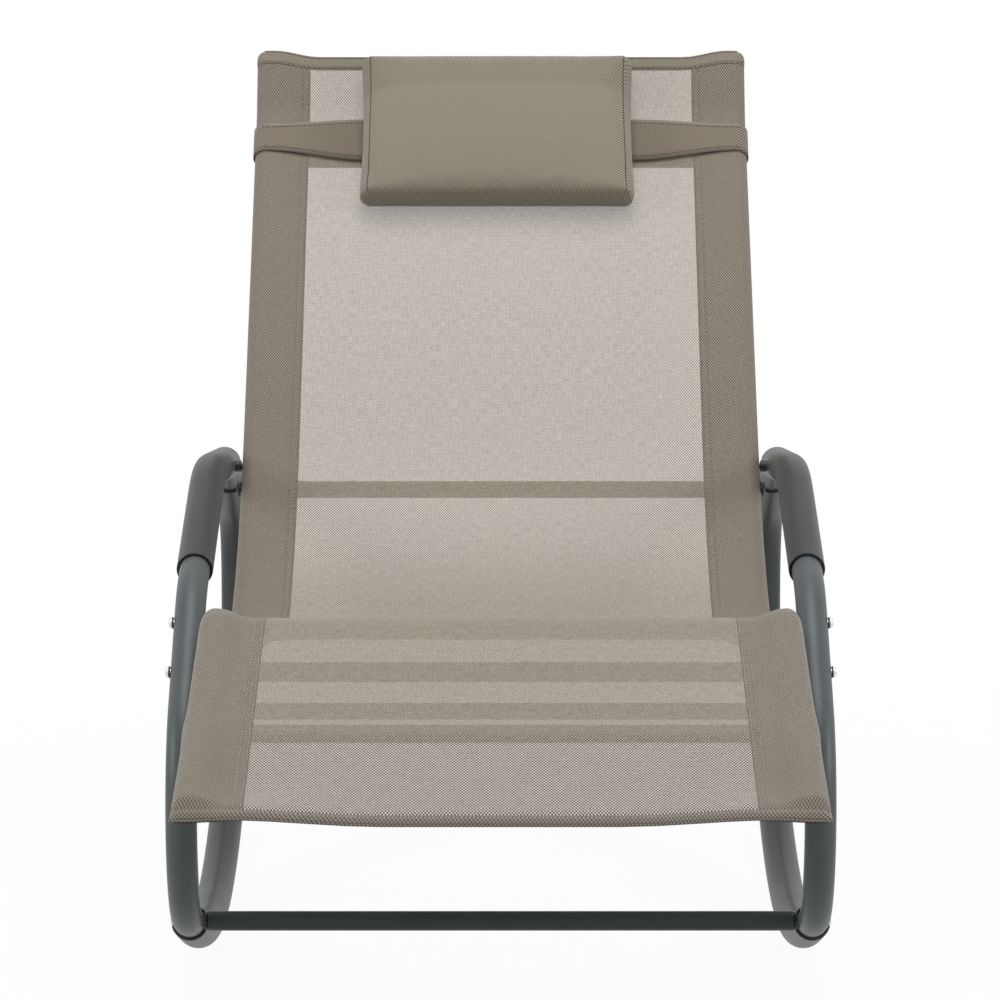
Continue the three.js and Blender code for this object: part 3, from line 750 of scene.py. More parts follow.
@dataclass(frozen=True)
class OpenMesh:
    """Coated yarn mesh: crossed yarns with small holes, painted shade in the hollows between the yarns,
    painted highlights on the yarns, and painted light as an even lighter tone where light comes through from
    behind.
    """

    name: str
    yarn: Rgb
    # Painted shade: the dark colour of the hollows between the yarns.
    hollow: Rgb
    across_pitch: float = 0.0029
    along_pitch: float = 0.0042
    crispness: float = 1.8
    single_from: float = 0.01
    double_tone: float = 0.9
    slubs: tuple[Place, Place] = ((620.0, 90.0, 1.0), (90.0, 620.0, 1.0))
    slub_share: float = 0.3
    hole: float = 1.9
    least_hole: float = 0.05
    roughness: float = 0.6
    shine: float = 0.12
    sheen: float = 0.12
    relief: float = 0.5
    relief_depth: float = 0.0005

    def build(self) -> Material:
        """Makes the material.

        Returns:
            The new material.
        """
        n = Nodes(bpy.data.materials.new(self.name))
        place = n.add("ShaderNodeUVMap", {}, uv_map="weave")
        across, along, _ = n.split(place)
        crossed = n.math("MULTIPLY", n.wave(across, 2 * math.pi / self.across_pitch),
                         n.wave(along, 2 * math.pi / self.along_pitch))
        squared = n.clamp(n.math("MULTIPLY", crossed, self.crispness), -1.0, 1.0)
        weave = n.math("MULTIPLY_ADD", squared, 0.5, 0.5)
        # Painted light: a mark lifts the single layer's colour evenly for light coming through it from
        # behind.
        tone = n.mark("tone")
        single = n.math("GREATER_THAN", tone, self.single_from)
        # Painted highlight and shade: a second mark sets how much lighter the yarns and how much darker the
        # hollows are painted there.
        lit = n.math("MULTIPLY_ADD", n.math("SUBTRACT", weave, 0.5), n.mark("depth"), tone)
        shade = n.pick(single, n.math("MULTIPLY", weave, self.double_tone), lit)
        base = n.blend(shade, linear(self.hollow), linear(self.yarn))
        slubs = n.math("ADD", *(self._slub(n, place, scale) for scale in self.slubs))
        share = n.math("MULTIPLY_ADD", single, self.slub_share, self.slub_share)
        uneven = n.math("MULTIPLY", n.math("SUBTRACT", slubs, 1.0), share)
        tint = {0: base, "Scale": n.math("ADD", uneven, 1.0)}
        hole = n.math("MULTIPLY_ADD", weave, self.hole, self.least_hole)
        cover = n.math("SUBTRACT", 1.0, n.math("MULTIPLY", n.mark("openness"), hole))
        return n.close(n.add("ShaderNodeBsdfPrincipled", {
            "Base Color": n.add("ShaderNodeVectorMath", tint, operation="SCALE"),
            "Roughness": self.roughness,
            "Specular IOR Level": self.shine,
            "Sheen Weight": self.sheen,
            "Alpha": n.clamp(cover),
            "Normal": n.bump(weave, self.relief, self.relief_depth)}))

    def _slub(self, n: Nodes, place: Socket, scale: Place) -> Socket:
        """The uneven thickness of one set of yarns, from 0 to 1."""
        stretched = n.add("ShaderNodeMapping", {"Vector": place, "Scale": scale})
        return n.noise(1.0, 2.0, stretched)


@dataclass(frozen=True)
class CloseWeave:
    """Close woven cloth with fine crossed yarns and soft colour drift."""

    name: str
    colour: Rgb
    pitch: float
    contrast: float
    slant: float = 0.7
    along_turn: float = 1.1
    drift: float = 0.3
    drift_patches: Point = (14.0, 3.0)
    drift_tone: float = 0.8
    roughness: float = 0.85
    shine: float = 0.12
    sheen: float = 0.25
    relief: float = 0.45
    relief_depth: float = 0.0005

    def build(self) -> Material:
        """Makes the material.

        Returns:
            The new material.
        """
        n = Nodes(bpy.data.materials.new(self.name))
        x, y, z = n.split(n.place())
        turn = 2 * math.pi / self.pitch
        aside = n.math("MULTIPLY", n.math("SUBTRACT", z, y), self.slant)
        crossed = n.math("MULTIPLY", n.wave(n.math("ADD", x, aside), turn), n.wave(z, turn * self.along_turn))
        weave = n.math("MULTIPLY_ADD", crossed, 0.5, 0.5)
        shade = n.blend(weave, *(linear(self.colour, 1 + side * self.contrast) for side in (-1, 1)))
        drift = n.math("MULTIPLY", n.noise(*self.drift_patches), self.drift)
        return n.close(n.add("ShaderNodeBsdfPrincipled", {
            "Base Color": n.blend(drift, shade, linear(self.colour, self.drift_tone)),
            "Roughness": self.roughness,
            "Specular IOR Level": self.shine,
            "Sheen Weight": self.sheen,
            "Normal": n.bump(weave, self.relief, self.relief_depth)}))


class Finish(Enum):
    """The chair's finishes."""

    STEEL = PaintedSteel("slate powder coat", (81, 87, 89), 0.42, 0.1, 0.2)
    # Painted shade: the runners and the bars wear the same slate coat as the arms, painted darker where they
    # face away from the lamps.
    RUNNER_STEEL = PaintedSteel("slate powder coat on the runners", (65, 69, 70), 0.42, 0.1, 0.2)
    BAR_STEEL = PaintedSteel("slate powder coat on the bars", (60, 65, 67), 0.45, 0.1, 0.2)
    DARK_STEEL = PaintedSteel("black zinc", (40, 41, 43), 0.4, 0.5)
    GRIP = Moulded("charcoal grip", (47, 49, 50), 0.42, shine=0.2, sheen=0.03, relief=0.3)
    BLACK = Moulded("black plastic", (28, 28, 30), 0.5, relief=0.15)
    BRIGHT = Plated("bright plate", (214, 215, 217))
    MESH = OpenMesh("sling mesh", (156, 146, 132), (80, 75, 66))
    THREAD = Moulded("stitch thread", (172, 163, 150), 0.7, relief=0.4)
    QUIET_THREAD = Moulded("quiet thread", (140, 131, 120), 0.7, relief=0.4)
    # Dark thread: the strap's real stitches, and on the pillow the painted shade of the seams' creases.
    DARK_THREAD = Moulded("dark thread", (78, 71, 62), 0.8, relief=0.4)
    HEM = CloseWeave("hem cloth", (126, 118, 108), 0.0034, 0.85)
    STRAP = CloseWeave("strap cloth", (119, 110, 98), 0.0033, 0.9)
    CLOTH = CloseWeave("pillow cloth", (131, 123, 110), 0.003, 0.68)

    @cached_property
    def material(self) -> Material:
        """The finish's material, made once."""
        return self.value.build()


def box_of(node: str) -> tuple[Vector, Vector, np.ndarray]:
    """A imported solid's two corners, and its middle in the side plane."""
    low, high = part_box(node)
    return low, high, np.array([(low.y + high.y) / 2, (low.z + high.z) / 2])


def dress(piece: Object, finish: Finish, body: str = "frame", node: str | None = None) -> None:
    """Sets a piece on its body and gives it its finish.

    Args:
        piece: The piece.
        finish: Its finish.
        body: The body that it moves with.
        node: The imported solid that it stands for, if there is one.
    """
    if node is not None:
        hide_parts(node)
    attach(piece, body)
    piece.data.materials.clear()
    piece.data.materials.append(finish.material)
    log.info("%s built on the %s", piece.name, body)


@dataclass
class SideFrame:
    """One closed side frame: arm tube, runner, rail, the sleeves between the tubes and the grip."""

    side: Side
    plan: Plan
    centre: float = 0.3015
    arm_radius: float = 0.015
    arm_bore: float = 0.0135
    runner_radius: float = 0.018
    runner_bore: float = 0.0162
    rail_radius: float = 0.0125
    rail_bore: float = 0.011
    rail_insets: Point = (0.038, 0.026)
    sleeve_rim: float = 0.0173
    sleeve_ease: float = 0.0004
    sleeve_radius: float = 0.0159
    sleeve_bore: float = 0.0153
    sleeve_length: float = 0.045
    seat: float = 0.0003
    ring: float = 0.0009
    grip_reaches: Point = (0.12, 0.101)
    grip_pitch: float = 0.012
    grip_lip: float = 0.0009
    grip_hollow: float = 0.004

    @property
    def x(self) -> float:
        """The frame's place across the chair."""
        return self.side.value * self.centre

    def build(self) -> None:
        """Builds and dresses every piece of the frame."""
        rail = self.plan.rail()
        rail = rail.between(self.rail_insets[0], rail.total - self.rail_insets[1])
        rail_x = self.side.value * self.plan.rail_x
        self._tube("arm_tube", self.plan.arm(), self.x, (self.arm_radius, self.arm_bore), Finish.STEEL)
        # The runner gets the darker copy of the slate coat: painted shade.
        self._tube("rocker_tube", self.plan.runner(), self.x, (self.runner_radius, self.runner_bore),
                   Finish.RUNNER_STEEL)
        self._tube("side_rail", rail, rail_x, (self.rail_radius, self.rail_bore), Finish.STEEL)
        self._sleeve(End.FRONT, *self.plan.front_mouth())
        self._sleeve(End.REAR, *self.plan.rear_mouth())
        self._grip()

    def _tube(self, node: str, line: BentLine, x: float, radii: Point, finish: Finish) -> None:
        """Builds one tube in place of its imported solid.

        Args:
            node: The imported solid's name without its side.
            line: The tube's centre line.
            x: Its place across the chair.
            radii: Its outer and inner radius.
            finish: Its finish.
        """
        stations = line.between(0, line.total).stations
        rings = [(*s, radii[0]) for s in stations] + [(*s, radii[1]) for s in reversed(stations)]
        name = f"{node}_{self.side.word}"
        dress(wall_piece(f"{name}_fine", x, rings, sharp=35), finish, node=name)

    def _sleeve(self, end: End, mouth: np.ndarray, inward: np.ndarray) -> None:
        """Builds the plastic sleeve that shows as a black ring at a mouth.

        Args:
            end: Which of the two mouths.
            mouth: The mouth's middle.
            inward: The direction into it.
        """
        face, lip, bevel = -self.seat - self.ring, -self.seat, self.sleeve_ease
        stops = [(face, self.sleeve_rim - bevel), (face + bevel, self.sleeve_rim), (lip, self.sleeve_rim),
                 (lip, self.sleeve_radius), (self.sleeve_length, self.sleeve_radius),
                 (self.sleeve_length, self.sleeve_bore), (face, self.sleeve_bore)]
        tilt = math.atan2(inward[1], inward[0])
        rings = [(mouth + inward * run, tilt, radius) for run, radius in stops]
        name = f"joint_sleeve_{end.value}_{self.side.word}"
        dress(wall_piece(f"{name}_fine", self.x, rings, sharp=30), Finish.BLACK, node=name)

    def _grip(self) -> None:
        """Builds the moulded grip: a thick wall whose mouths are hollowed down to the tube."""
        arm = self.plan.arm()
        front, back = arm.crossings(self.plan.rail())
        line = arm.between(front + self.grip_reaches[0], back + self.grip_reaches[1], self.grip_pitch)
        outer, bore = self.runner_radius, self.arm_radius + self.seat
        total, lip, hollow = line.total, self.grip_lip, self.grip_hollow
        mouth = [(hollow, bore), (0.0, outer - lip * 2), (lip / 3, outer - lip), (0.0, outer - lip * 0.6),
                 (lip * 0.6, outer)]
        middle = [(float(r), outer) for r in line.runs if lip < r < total - lip]
        far = [(total - run, radius) for run, radius in mouth[::-1]]
        inside = [(float(r), bore) for r in line.runs[::-1] if hollow < r < total - hollow]
        rings = [(*line.at(run), radius) for run, radius in [*mouth, *middle, *far, *inside]]
        name = f"arm_grip_{self.side.word}"
        dress(wall_piece(f"{name}_fine", self.x, rings, sharp=40), Finish.GRIP, node=name)


@dataclass(frozen=True)
class DomedBolt:
    """One kind of domed bolt: its head, its finish and its slot."""

    node: str
    head: float
    height: float
    finish: Finish
    slot: str
    shank: float = 0.003


@dataclass
class CrossBars:
    """The bars between the side frames and between the rails, with their bolts."""

    bars: tuple[tuple[str, float], ...] = (
        ("base_bar_front", 0.0095), ("base_bar_rear", 0.0095), ("seat_spreader", 0.0095),
        ("back_spreader", 0.009), ("leg_spreader", 0.008))
    bolts: tuple[DomedBolt, ...] = (
        DomedBolt("bar_bolt_front", 0.0047, 0.0026, Finish.BRIGHT, "bright_steel"),
        DomedBolt("bar_bolt_rear", 0.0047, 0.0026, Finish.BRIGHT, "bright_steel"),
        DomedBolt("seat_bolt_lower", 0.0053, 0.0036, Finish.BRIGHT, "bright_steel"),
        DomedBolt("seat_bolt_upper", 0.0053, 0.0036, Finish.BRIGHT, "bright_steel"),
        DomedBolt("spreader_bolt", 0.0078, 0.0043, Finish.BLACK, "black_steel"),
        DomedBolt("leg_bolt", 0.006, 0.0012, Finish.BRIGHT, "bright_steel"))
    rings: tuple[str, ...] = ("bar_saddle_front", "bar_saddle_rear", "seat_washer_lower", "seat_washer_upper",
                              "seat_saddle_lower", "seat_saddle_upper", "back_spacer")
    bore: float = 0.0034
    bore_depth: float = 0.02
    bar_bevel: float = 0.0006
    ring_bevel: float = 0.0004

    def build(self) -> None:
        """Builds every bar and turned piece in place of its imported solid."""
        for node, radius in self.bars:
            self._bar(node, radius)
        for side in Side:
            for bolt in self.bolts:
                self._domed(bolt, side)
            for ring in self.rings:
                self._ring(f"{ring}_{side.word}")

    def _bar(self, node: str, radius: float) -> None:
        """Builds one bar, its ends bored for the bolts.

        Args:
            node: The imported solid's name.
            radius: The bar's radius.
        """
        _, high, middle = box_of(node)
        half = high.x
        rim, edge, deep = radius - self.bar_bevel, half - self.bar_bevel, half - self.bore_depth
        outside = [(rim, -half), (radius, -edge), (radius, edge), (rim, half)]
        inside = [(self.bore, stop) for stop in (half, deep, -deep, -half)]
        piece = turned_piece(f"{node}_fine", [*outside, *inside], 0.0, middle)
        # The bars get the darker copy of the slate coat: painted shade.
        dress(piece, Finish.BAR_STEEL, node=node)

    def _domed(self, bolt: DomedBolt, side: Side) -> None:
        """Builds one domed bolt, its head on the outside.

        Args:
            bolt: The kind of bolt.
            side: The chair's side that it sits on.
        """
        node = f"{bolt.node}_{side.word}"
        low, high, middle = box_of(node)
        out, tip = (high.x, low.x) if side is Side.RIGHT else (-low.x, -high.x)
        seat = out - bolt.height
        profile = dome(bolt.head, bolt.height, bolt.shank, seat - tip)
        piece = turned_piece(f"{node}_fine", profile, side.value * seat, middle, side.value)
        dress(piece, bolt.finish, node=node)

    def _ring(self, node: str) -> None:
        """Builds one washer, saddle or spacer, its rims eased.

        Args:
            node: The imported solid's name.
        """
        low, high, middle = box_of(node)
        outer, long = (high.z - low.z) / 2, high.x - low.x
        bevel = min(self.ring_bevel, long / 4)
        profile = [(self.bore, 0.0), (outer - bevel, 0.0), (outer, bevel), (outer, long - bevel),
                   (outer - bevel, long), (self.bore, long)]
        piece = turned_piece(f"{node}_fine", profile, low.x, middle)
        dress(piece, Finish.BLACK, node=node)


@dataclass
class Sling:
    """The mesh cloth: a panel, a sleeve round each rail, and a flap sewn back under the panel."""

    plan: Plan
    sleeve: float = 0.0134
    closed_half: float = 0.0007
    layer: float = 0.0011
    wrap_turns: Point = (100, -118)
    wrap_points: int = 22
    bridge_points: int = 6
    panel_places: tuple[float, ...] = (0.0, 0.05, 0.1, 0.13, 0.16, 0.19, 0.205, 0.2155, 0.2165)
    single_columns: int = 7
    upper_columns: int = 27
    seam: float = 0.228
    seam_side: float = 0.006
    flap: float = 0.216
    foot_closing: float = 0.034
    foot_top_closing: float = 0.022
    foot_shut: float = 0.25
    foot_lift: float = 0.006
    foot_lift_run: float = 0.08
    lift_start: float = 0.1
    head_closing: float = 0.016
    head_trim: float = 0.006
    head_dip: float = 0.0078
    head_dip_run: float = 0.06
    head_dip_end: float = 0.206
    head_dip_fade: float = 0.05
    corner_radius: float = 0.009
    ridge: float = 0.1072
    ridge_half: float = 0.006
    bolt_cover: float = 0.0014
    bolt_cover_spread: float = 0.035
    knee: float = 0.26
    knee_crown: float = 0.003
    knee_spread: float = 0.04
    leg_share: float = 0.22
    leg_fade: float = 0.3
    leg_stretch: float = 1.28
    foot_rows: Point = (0.045, 0.003)
    head_rows: Point = (0.07, 0.004)
    row_pitch: float = 0.012
    rises: tuple[Point, ...] = (
        (0.0, -0.005), (0.006, 0.0014), (0.1072, 0.0092), (0.245, 0.00725), (0.55, 0.01175), (1.0, 0.01175))
    openness: tuple[Point, ...] = (
        (0.0, 0.12), (0.09, 0.12), (0.1, 0.09), (0.25, 0.078), (0.5, 0.078), (0.54, 0.09), (0.6, 0.17),
        (0.66, 0.22), (0.85, 0.25), (0.93, 0.25), (0.95, 0.19), (1.0, 0.19))
    # Painted light along the run: how far the single layer's colour is lifted for light coming through it,
    # least on the leg.
    tone: tuple[Point, ...] = (
        (0.0, 0.68), (0.09, 0.68), (0.1, 0.76), (0.48, 0.76), (0.56, 0.82), (0.62, 1.0), (1.0, 1.04))
    # Painted highlight and shade along the run: how strongly the single layer's yarns are painted lighter and
    # its hollows darker.
    depth: tuple[Point, ...] = ((0.0, 2.2), (0.09, 2.2), (0.1, 1.0), (0.48, 1.0), (0.62, 1.6), (1.0, 1.6))
    stitches: Point = (0.2178, 0.2245)
    stitch_lift: float = 0.0003
    stitch_margin: int = 4
    foot_hem: float = 0.011
    head_hem: float = 0.0155
    hem_lift: float = 0.0006
    hem_thickness: float = 0.0005
    hem_roll: float = 0.0011
    flat_width: float = 0.74
    whole: float = field(init=False)
    end: float = field(init=False)
    line: BentLine = field(init=False)
    rows: list[np.ndarray] = field(init=False)
    middle: int = field(init=False)

    def __post_init__(self) -> None:
        """Sets out the cloth's rows along the rails."""
        rail = self.plan.rail()
        self.whole, self.end = rail.total, rail.total - self.head_trim
        self.line = self._stations(rail)
        self.rows = [self._row(i) for i in range(len(self.line.points))]
        self.middle = (len(self.rows[0]) - 1) // 2

    def build(self) -> None:
        """Builds the cloth, its hems and its stitching."""
        cloth = self._cloth()
        self._seams()
        for end in End:
            self._hem(end)

    def _stations(self, rail: BentLine) -> BentLine:
        """The cloth's rows: close ones at both ends and over the ridge, wider ones between.

        Args:
            rail: The rails' centre line.

        Returns:
            The line with one station for each row.
        """
        (foot, foot_step), (head_run, head_step) = self.foot_rows, self.head_rows
        head = self.end - head_run
        ridge, half = self.ridge * self.whole, self.ridge_half
        marks = [*np.arange(0.0, foot, foot_step), *rail.between(foot, head, self.row_pitch).runs + foot,
                 *np.arange(head + head_step, self.end, head_step), self.end,
                 ridge - half, ridge - half / 2, ridge, ridge + half / 2, ridge + half]
        return BentLine.through([rail.at(float(run)) for run in sorted(set(np.round(marks, 5)))])

    def _rise(self, run: float) -> float:
        """The panel's height over the rails' centre line, rounded where it crosses the spreader.

        Args:
            run: Running length along the rails.

        Returns:
            The height.
        """
        soft = min(self.ridge_half, run)
        near = [np.interp((run + aside) / self.whole, *zip(*self.rises)) for aside in (-soft, 0.0, soft)]
        return float(sum(near)) / len(near)

    def _section(self, run: float) -> list[Point]:
        """Half the cloth's section, from the middle of the panel out to the flap's edge.

        Args:
            run: Running length along the rails.

        Returns:
            Points across and up from the rails' centre line.
        """
        rise, left = self._rise(run), self.end - run
        foot_share, head_share = run / self.foot_closing, left / self.head_closing
        share = min(1.0, foot_share, head_share)
        shut_level = self.foot_shut * rise if foot_share < head_share else rise - self.layer / 2
        level = shut_level * (1 - share)
        tall = self.closed_half + (self.sleeve - self.closed_half) * share
        top_share = min(1.0, run / self.foot_top_closing, head_share)
        full = self.knee_crown * math.exp(-((run / self.whole - self.knee) / self.knee_spread) ** 2)
        crown = self.closed_half + (self.sleeve + full - self.closed_half) * top_share
        short = max(0.0, self.corner_radius - left)
        wide = self.sleeve - self.corner_radius + math.sqrt(max(0.0, self.corner_radius ** 2 - short ** 2))
        wide += self.bolt_cover * math.exp(-((run - self.ridge * self.whole) / self.bolt_cover_spread) ** 2)
        turns = np.radians(np.linspace(*self.wrap_turns, self.wrap_points))
        wrap = [(self.plan.rail_x + (wide if math.cos(a) > 0 else self.sleeve) * math.cos(a),
                 level + (crown if a > 0 else tall) * math.sin(a)) for a in turns]
        lift = self.foot_lift * (1 - ease(run / self.foot_lift_run))

        def height(x: float) -> float:
            """The panel's height at a place across."""
            return rise + lift * ease((x - self.lift_start) / (self.seam - self.lift_start))

        panel = [(x, height(x)) for x in (*self.panel_places, self.seam - self.seam_side, self.seam)]
        (start, low), (over, top), (under, bottom) = panel[-1], wrap[0], wrap[-1]
        bridge = [(start + (over - start) * t, low + (top - low) * ease(t))
                  for t in np.linspace(0, 1, self.bridge_points + 2)[1:-1]]
        low -= self.layer
        back = [(start + (under - start) * t, low + (bottom - low) * t) for t in (0.75, 0.5, 0.25)]
        return [*panel, *bridge, *wrap, *back, (start, low), (self.flap, height(self.flap) - self.layer)]

    def _row(self, i: int) -> np.ndarray:
        """One row of the cloth in space.

        Args:
            i: The row's station.

        Returns:
            Points from the left flap's edge to the right one's.
        """
        run = float(self.line.runs[i])
        half = self._section(run)
        section = np.array([*[(-x, z) for x, z in half[:0:-1]], *half])
        dip = self.head_dip * ease((run - self.end + self.head_dip_run) / self.head_dip_run)
        drawn = np.array([dip * (1 - ease((abs(x) - self.head_dip_end) / self.head_dip_fade))
                          for x in section[:, 0]])
        along = heading(self.line.angles[i])
        flat = self.line.points[i] + section[:, 1:] * up_from(along) - drawn[:, None] * along
        return np.column_stack([section[:, 0], flat])

    def _thread_runs(self, runs: np.ndarray) -> np.ndarray:
        """Running lengths as the weave counts them, since its cells are drawn longer on the leg.

        Args:
            runs: Running lengths along the rails.

        Returns:
            The counted lengths.
        """
        marks = np.linspace(0.0, self.whole, 400)
        settled = [ease((mark / self.whole - self.leg_share) / self.leg_fade) for mark in marks]
        stretch = [self.leg_stretch + (1 - self.leg_stretch) * share for share in settled]
        counted = np.concatenate([[0.0], np.cumsum(np.diff(marks) / np.array(stretch)[1:])])
        return np.interp(runs, marks, counted)

    def _cloth(self) -> Object:
        """Builds the cloth as one surface with its weave map and its marks for the material.

        Returns:
            The cloth.
        """
        rows, count = self.rows, len(self.rows[0])
        piece = mesh_piece("sling_cloth", np.concatenate(rows), grid_faces(len(rows), count))
        across = running(rows[len(rows) // 2])
        log.info("sling developed width %.3f m, length %.3f m", across[-1], self.line.total)
        places = np.tile(across - across[-1] / 2, len(rows))
        runs = np.repeat(self.line.runs, count)
        corners = np.zeros(len(piece.data.loops), dtype=int)
        piece.data.loops.foreach_get("vertex_index", corners)
        threads = np.column_stack([places, self._thread_runs(runs)])
        piece.data.uv_layers.new(name="weave").data.foreach_set("uv", threads[corners].ravel())
        columns = np.tile(np.arange(count), len(rows))
        single = abs(columns - self.middle) <= self.single_columns
        single &= (runs > self.foot_hem) & (runs < self.end - self.head_hem)
        # openness is the cloth's real see-through; the other two marks are painted light for the single
        # layer.
        for name in ("openness", "tone", "depth"):
            value = np.interp(runs / self.whole, *zip(*getattr(self, name)))
            layer = piece.data.attributes.new(name, "FLOAT", "POINT")
            layer.data.foreach_set("value", np.where(single, value, 0.0).astype(np.float32))
        dress(piece, Finish.MESH, node="sling")
        return piece

    def _seams(self) -> None:
        """Sews the two stitch rows that hold the flap on each side."""
        tilts = self.line.angles
        up = np.column_stack([np.zeros_like(tilts), -np.sin(tilts), np.cos(tilts)])
        reach = len(self.panel_places) + 2
        panels = [row[self.middle - reach:self.middle + reach + 1] for row in self.rows]
        knee = int(np.searchsorted(self.line.runs, self.knee * self.whole))
        for side in Side:
            for i, place in enumerate(self.stitches):
                x = side.value * place
                spots = np.array([part_way(x, panel[:, 0], panel) for panel in panels])
                spots += up * self.stitch_lift
                for part, rows, thread in (("leg", slice(self.stitch_margin, knee), Finish.THREAD),
                                           ("back", slice(knee, -self.stitch_margin), Finish.QUIET_THREAD)):
                    seam = Stitching().row(f"sling_stitch_{part}_{side.word}_{i}", spots[rows], up[rows])
                    dress(seam, thread)

    def _hem(self, end: End) -> None:
        """Lays one hem's turned band with its rolled edge and stitches.

        Args:
            end: The foot end or the head end.
        """
        foot = end is End.FRONT
        word, finish = ("foot", Finish.HEM) if foot else ("head", Finish.CLOTH)
        edge, inner = (0, -1) if foot else (-1, 0)
        runs = self.line.runs
        turned = runs < self.foot_hem if foot else runs > self.end - self.head_hem
        normal = np.array([0.0, *up_from(heading(self.line.angles[edge]))])
        columns = slice(self.middle - self.upper_columns, self.middle + self.upper_columns + 1)
        lifted = np.array(self.rows)[turned][:, columns] + normal * self.hem_lift
        band = mesh_piece(f"sling_hem_{word}", lifted.reshape(-1, 3), grid_faces(*lifted.shape[:2]))
        solid = band.modifiers.new("thickness", "SOLIDIFY")
        solid.thickness, solid.offset = self.hem_thickness, 0.0
        dress(band, finish)
        dress(fine_roll(f"sling_hem_roll_{word}", lifted[edge], self.hem_roll), finish)
        seam = Stitching().row(f"sling_hem_stitch_{word}", lifted[inner] + normal * self.stitch_lift,
                               np.tile(normal, (lifted.shape[1], 1)))
        dress(seam, Finish.THREAD)


def spots_of(piece: Object) -> np.ndarray:
    """Reads a piece's points.

    Args:
        piece: The piece.

    Returns:
        The points, one a row.
    """
    spots = np.zeros(len(piece.data.vertices) * 3)
    piece.data.vertices.foreach_get("co", spots)
    return spots.reshape(-1, 3)


def take_shape(piece: Object) -> None:
    """Bakes a piece's modifiers into its mesh.

    Args:
        piece: The piece.
    """
    bpy.context.view_layer.update()
    shaped = piece.evaluated_get(bpy.context.evaluated_depsgraph_get())
    mesh = bpy.data.meshes.new_from_object(shaped)
    piece.modifiers.clear()
    piece.data = mesh


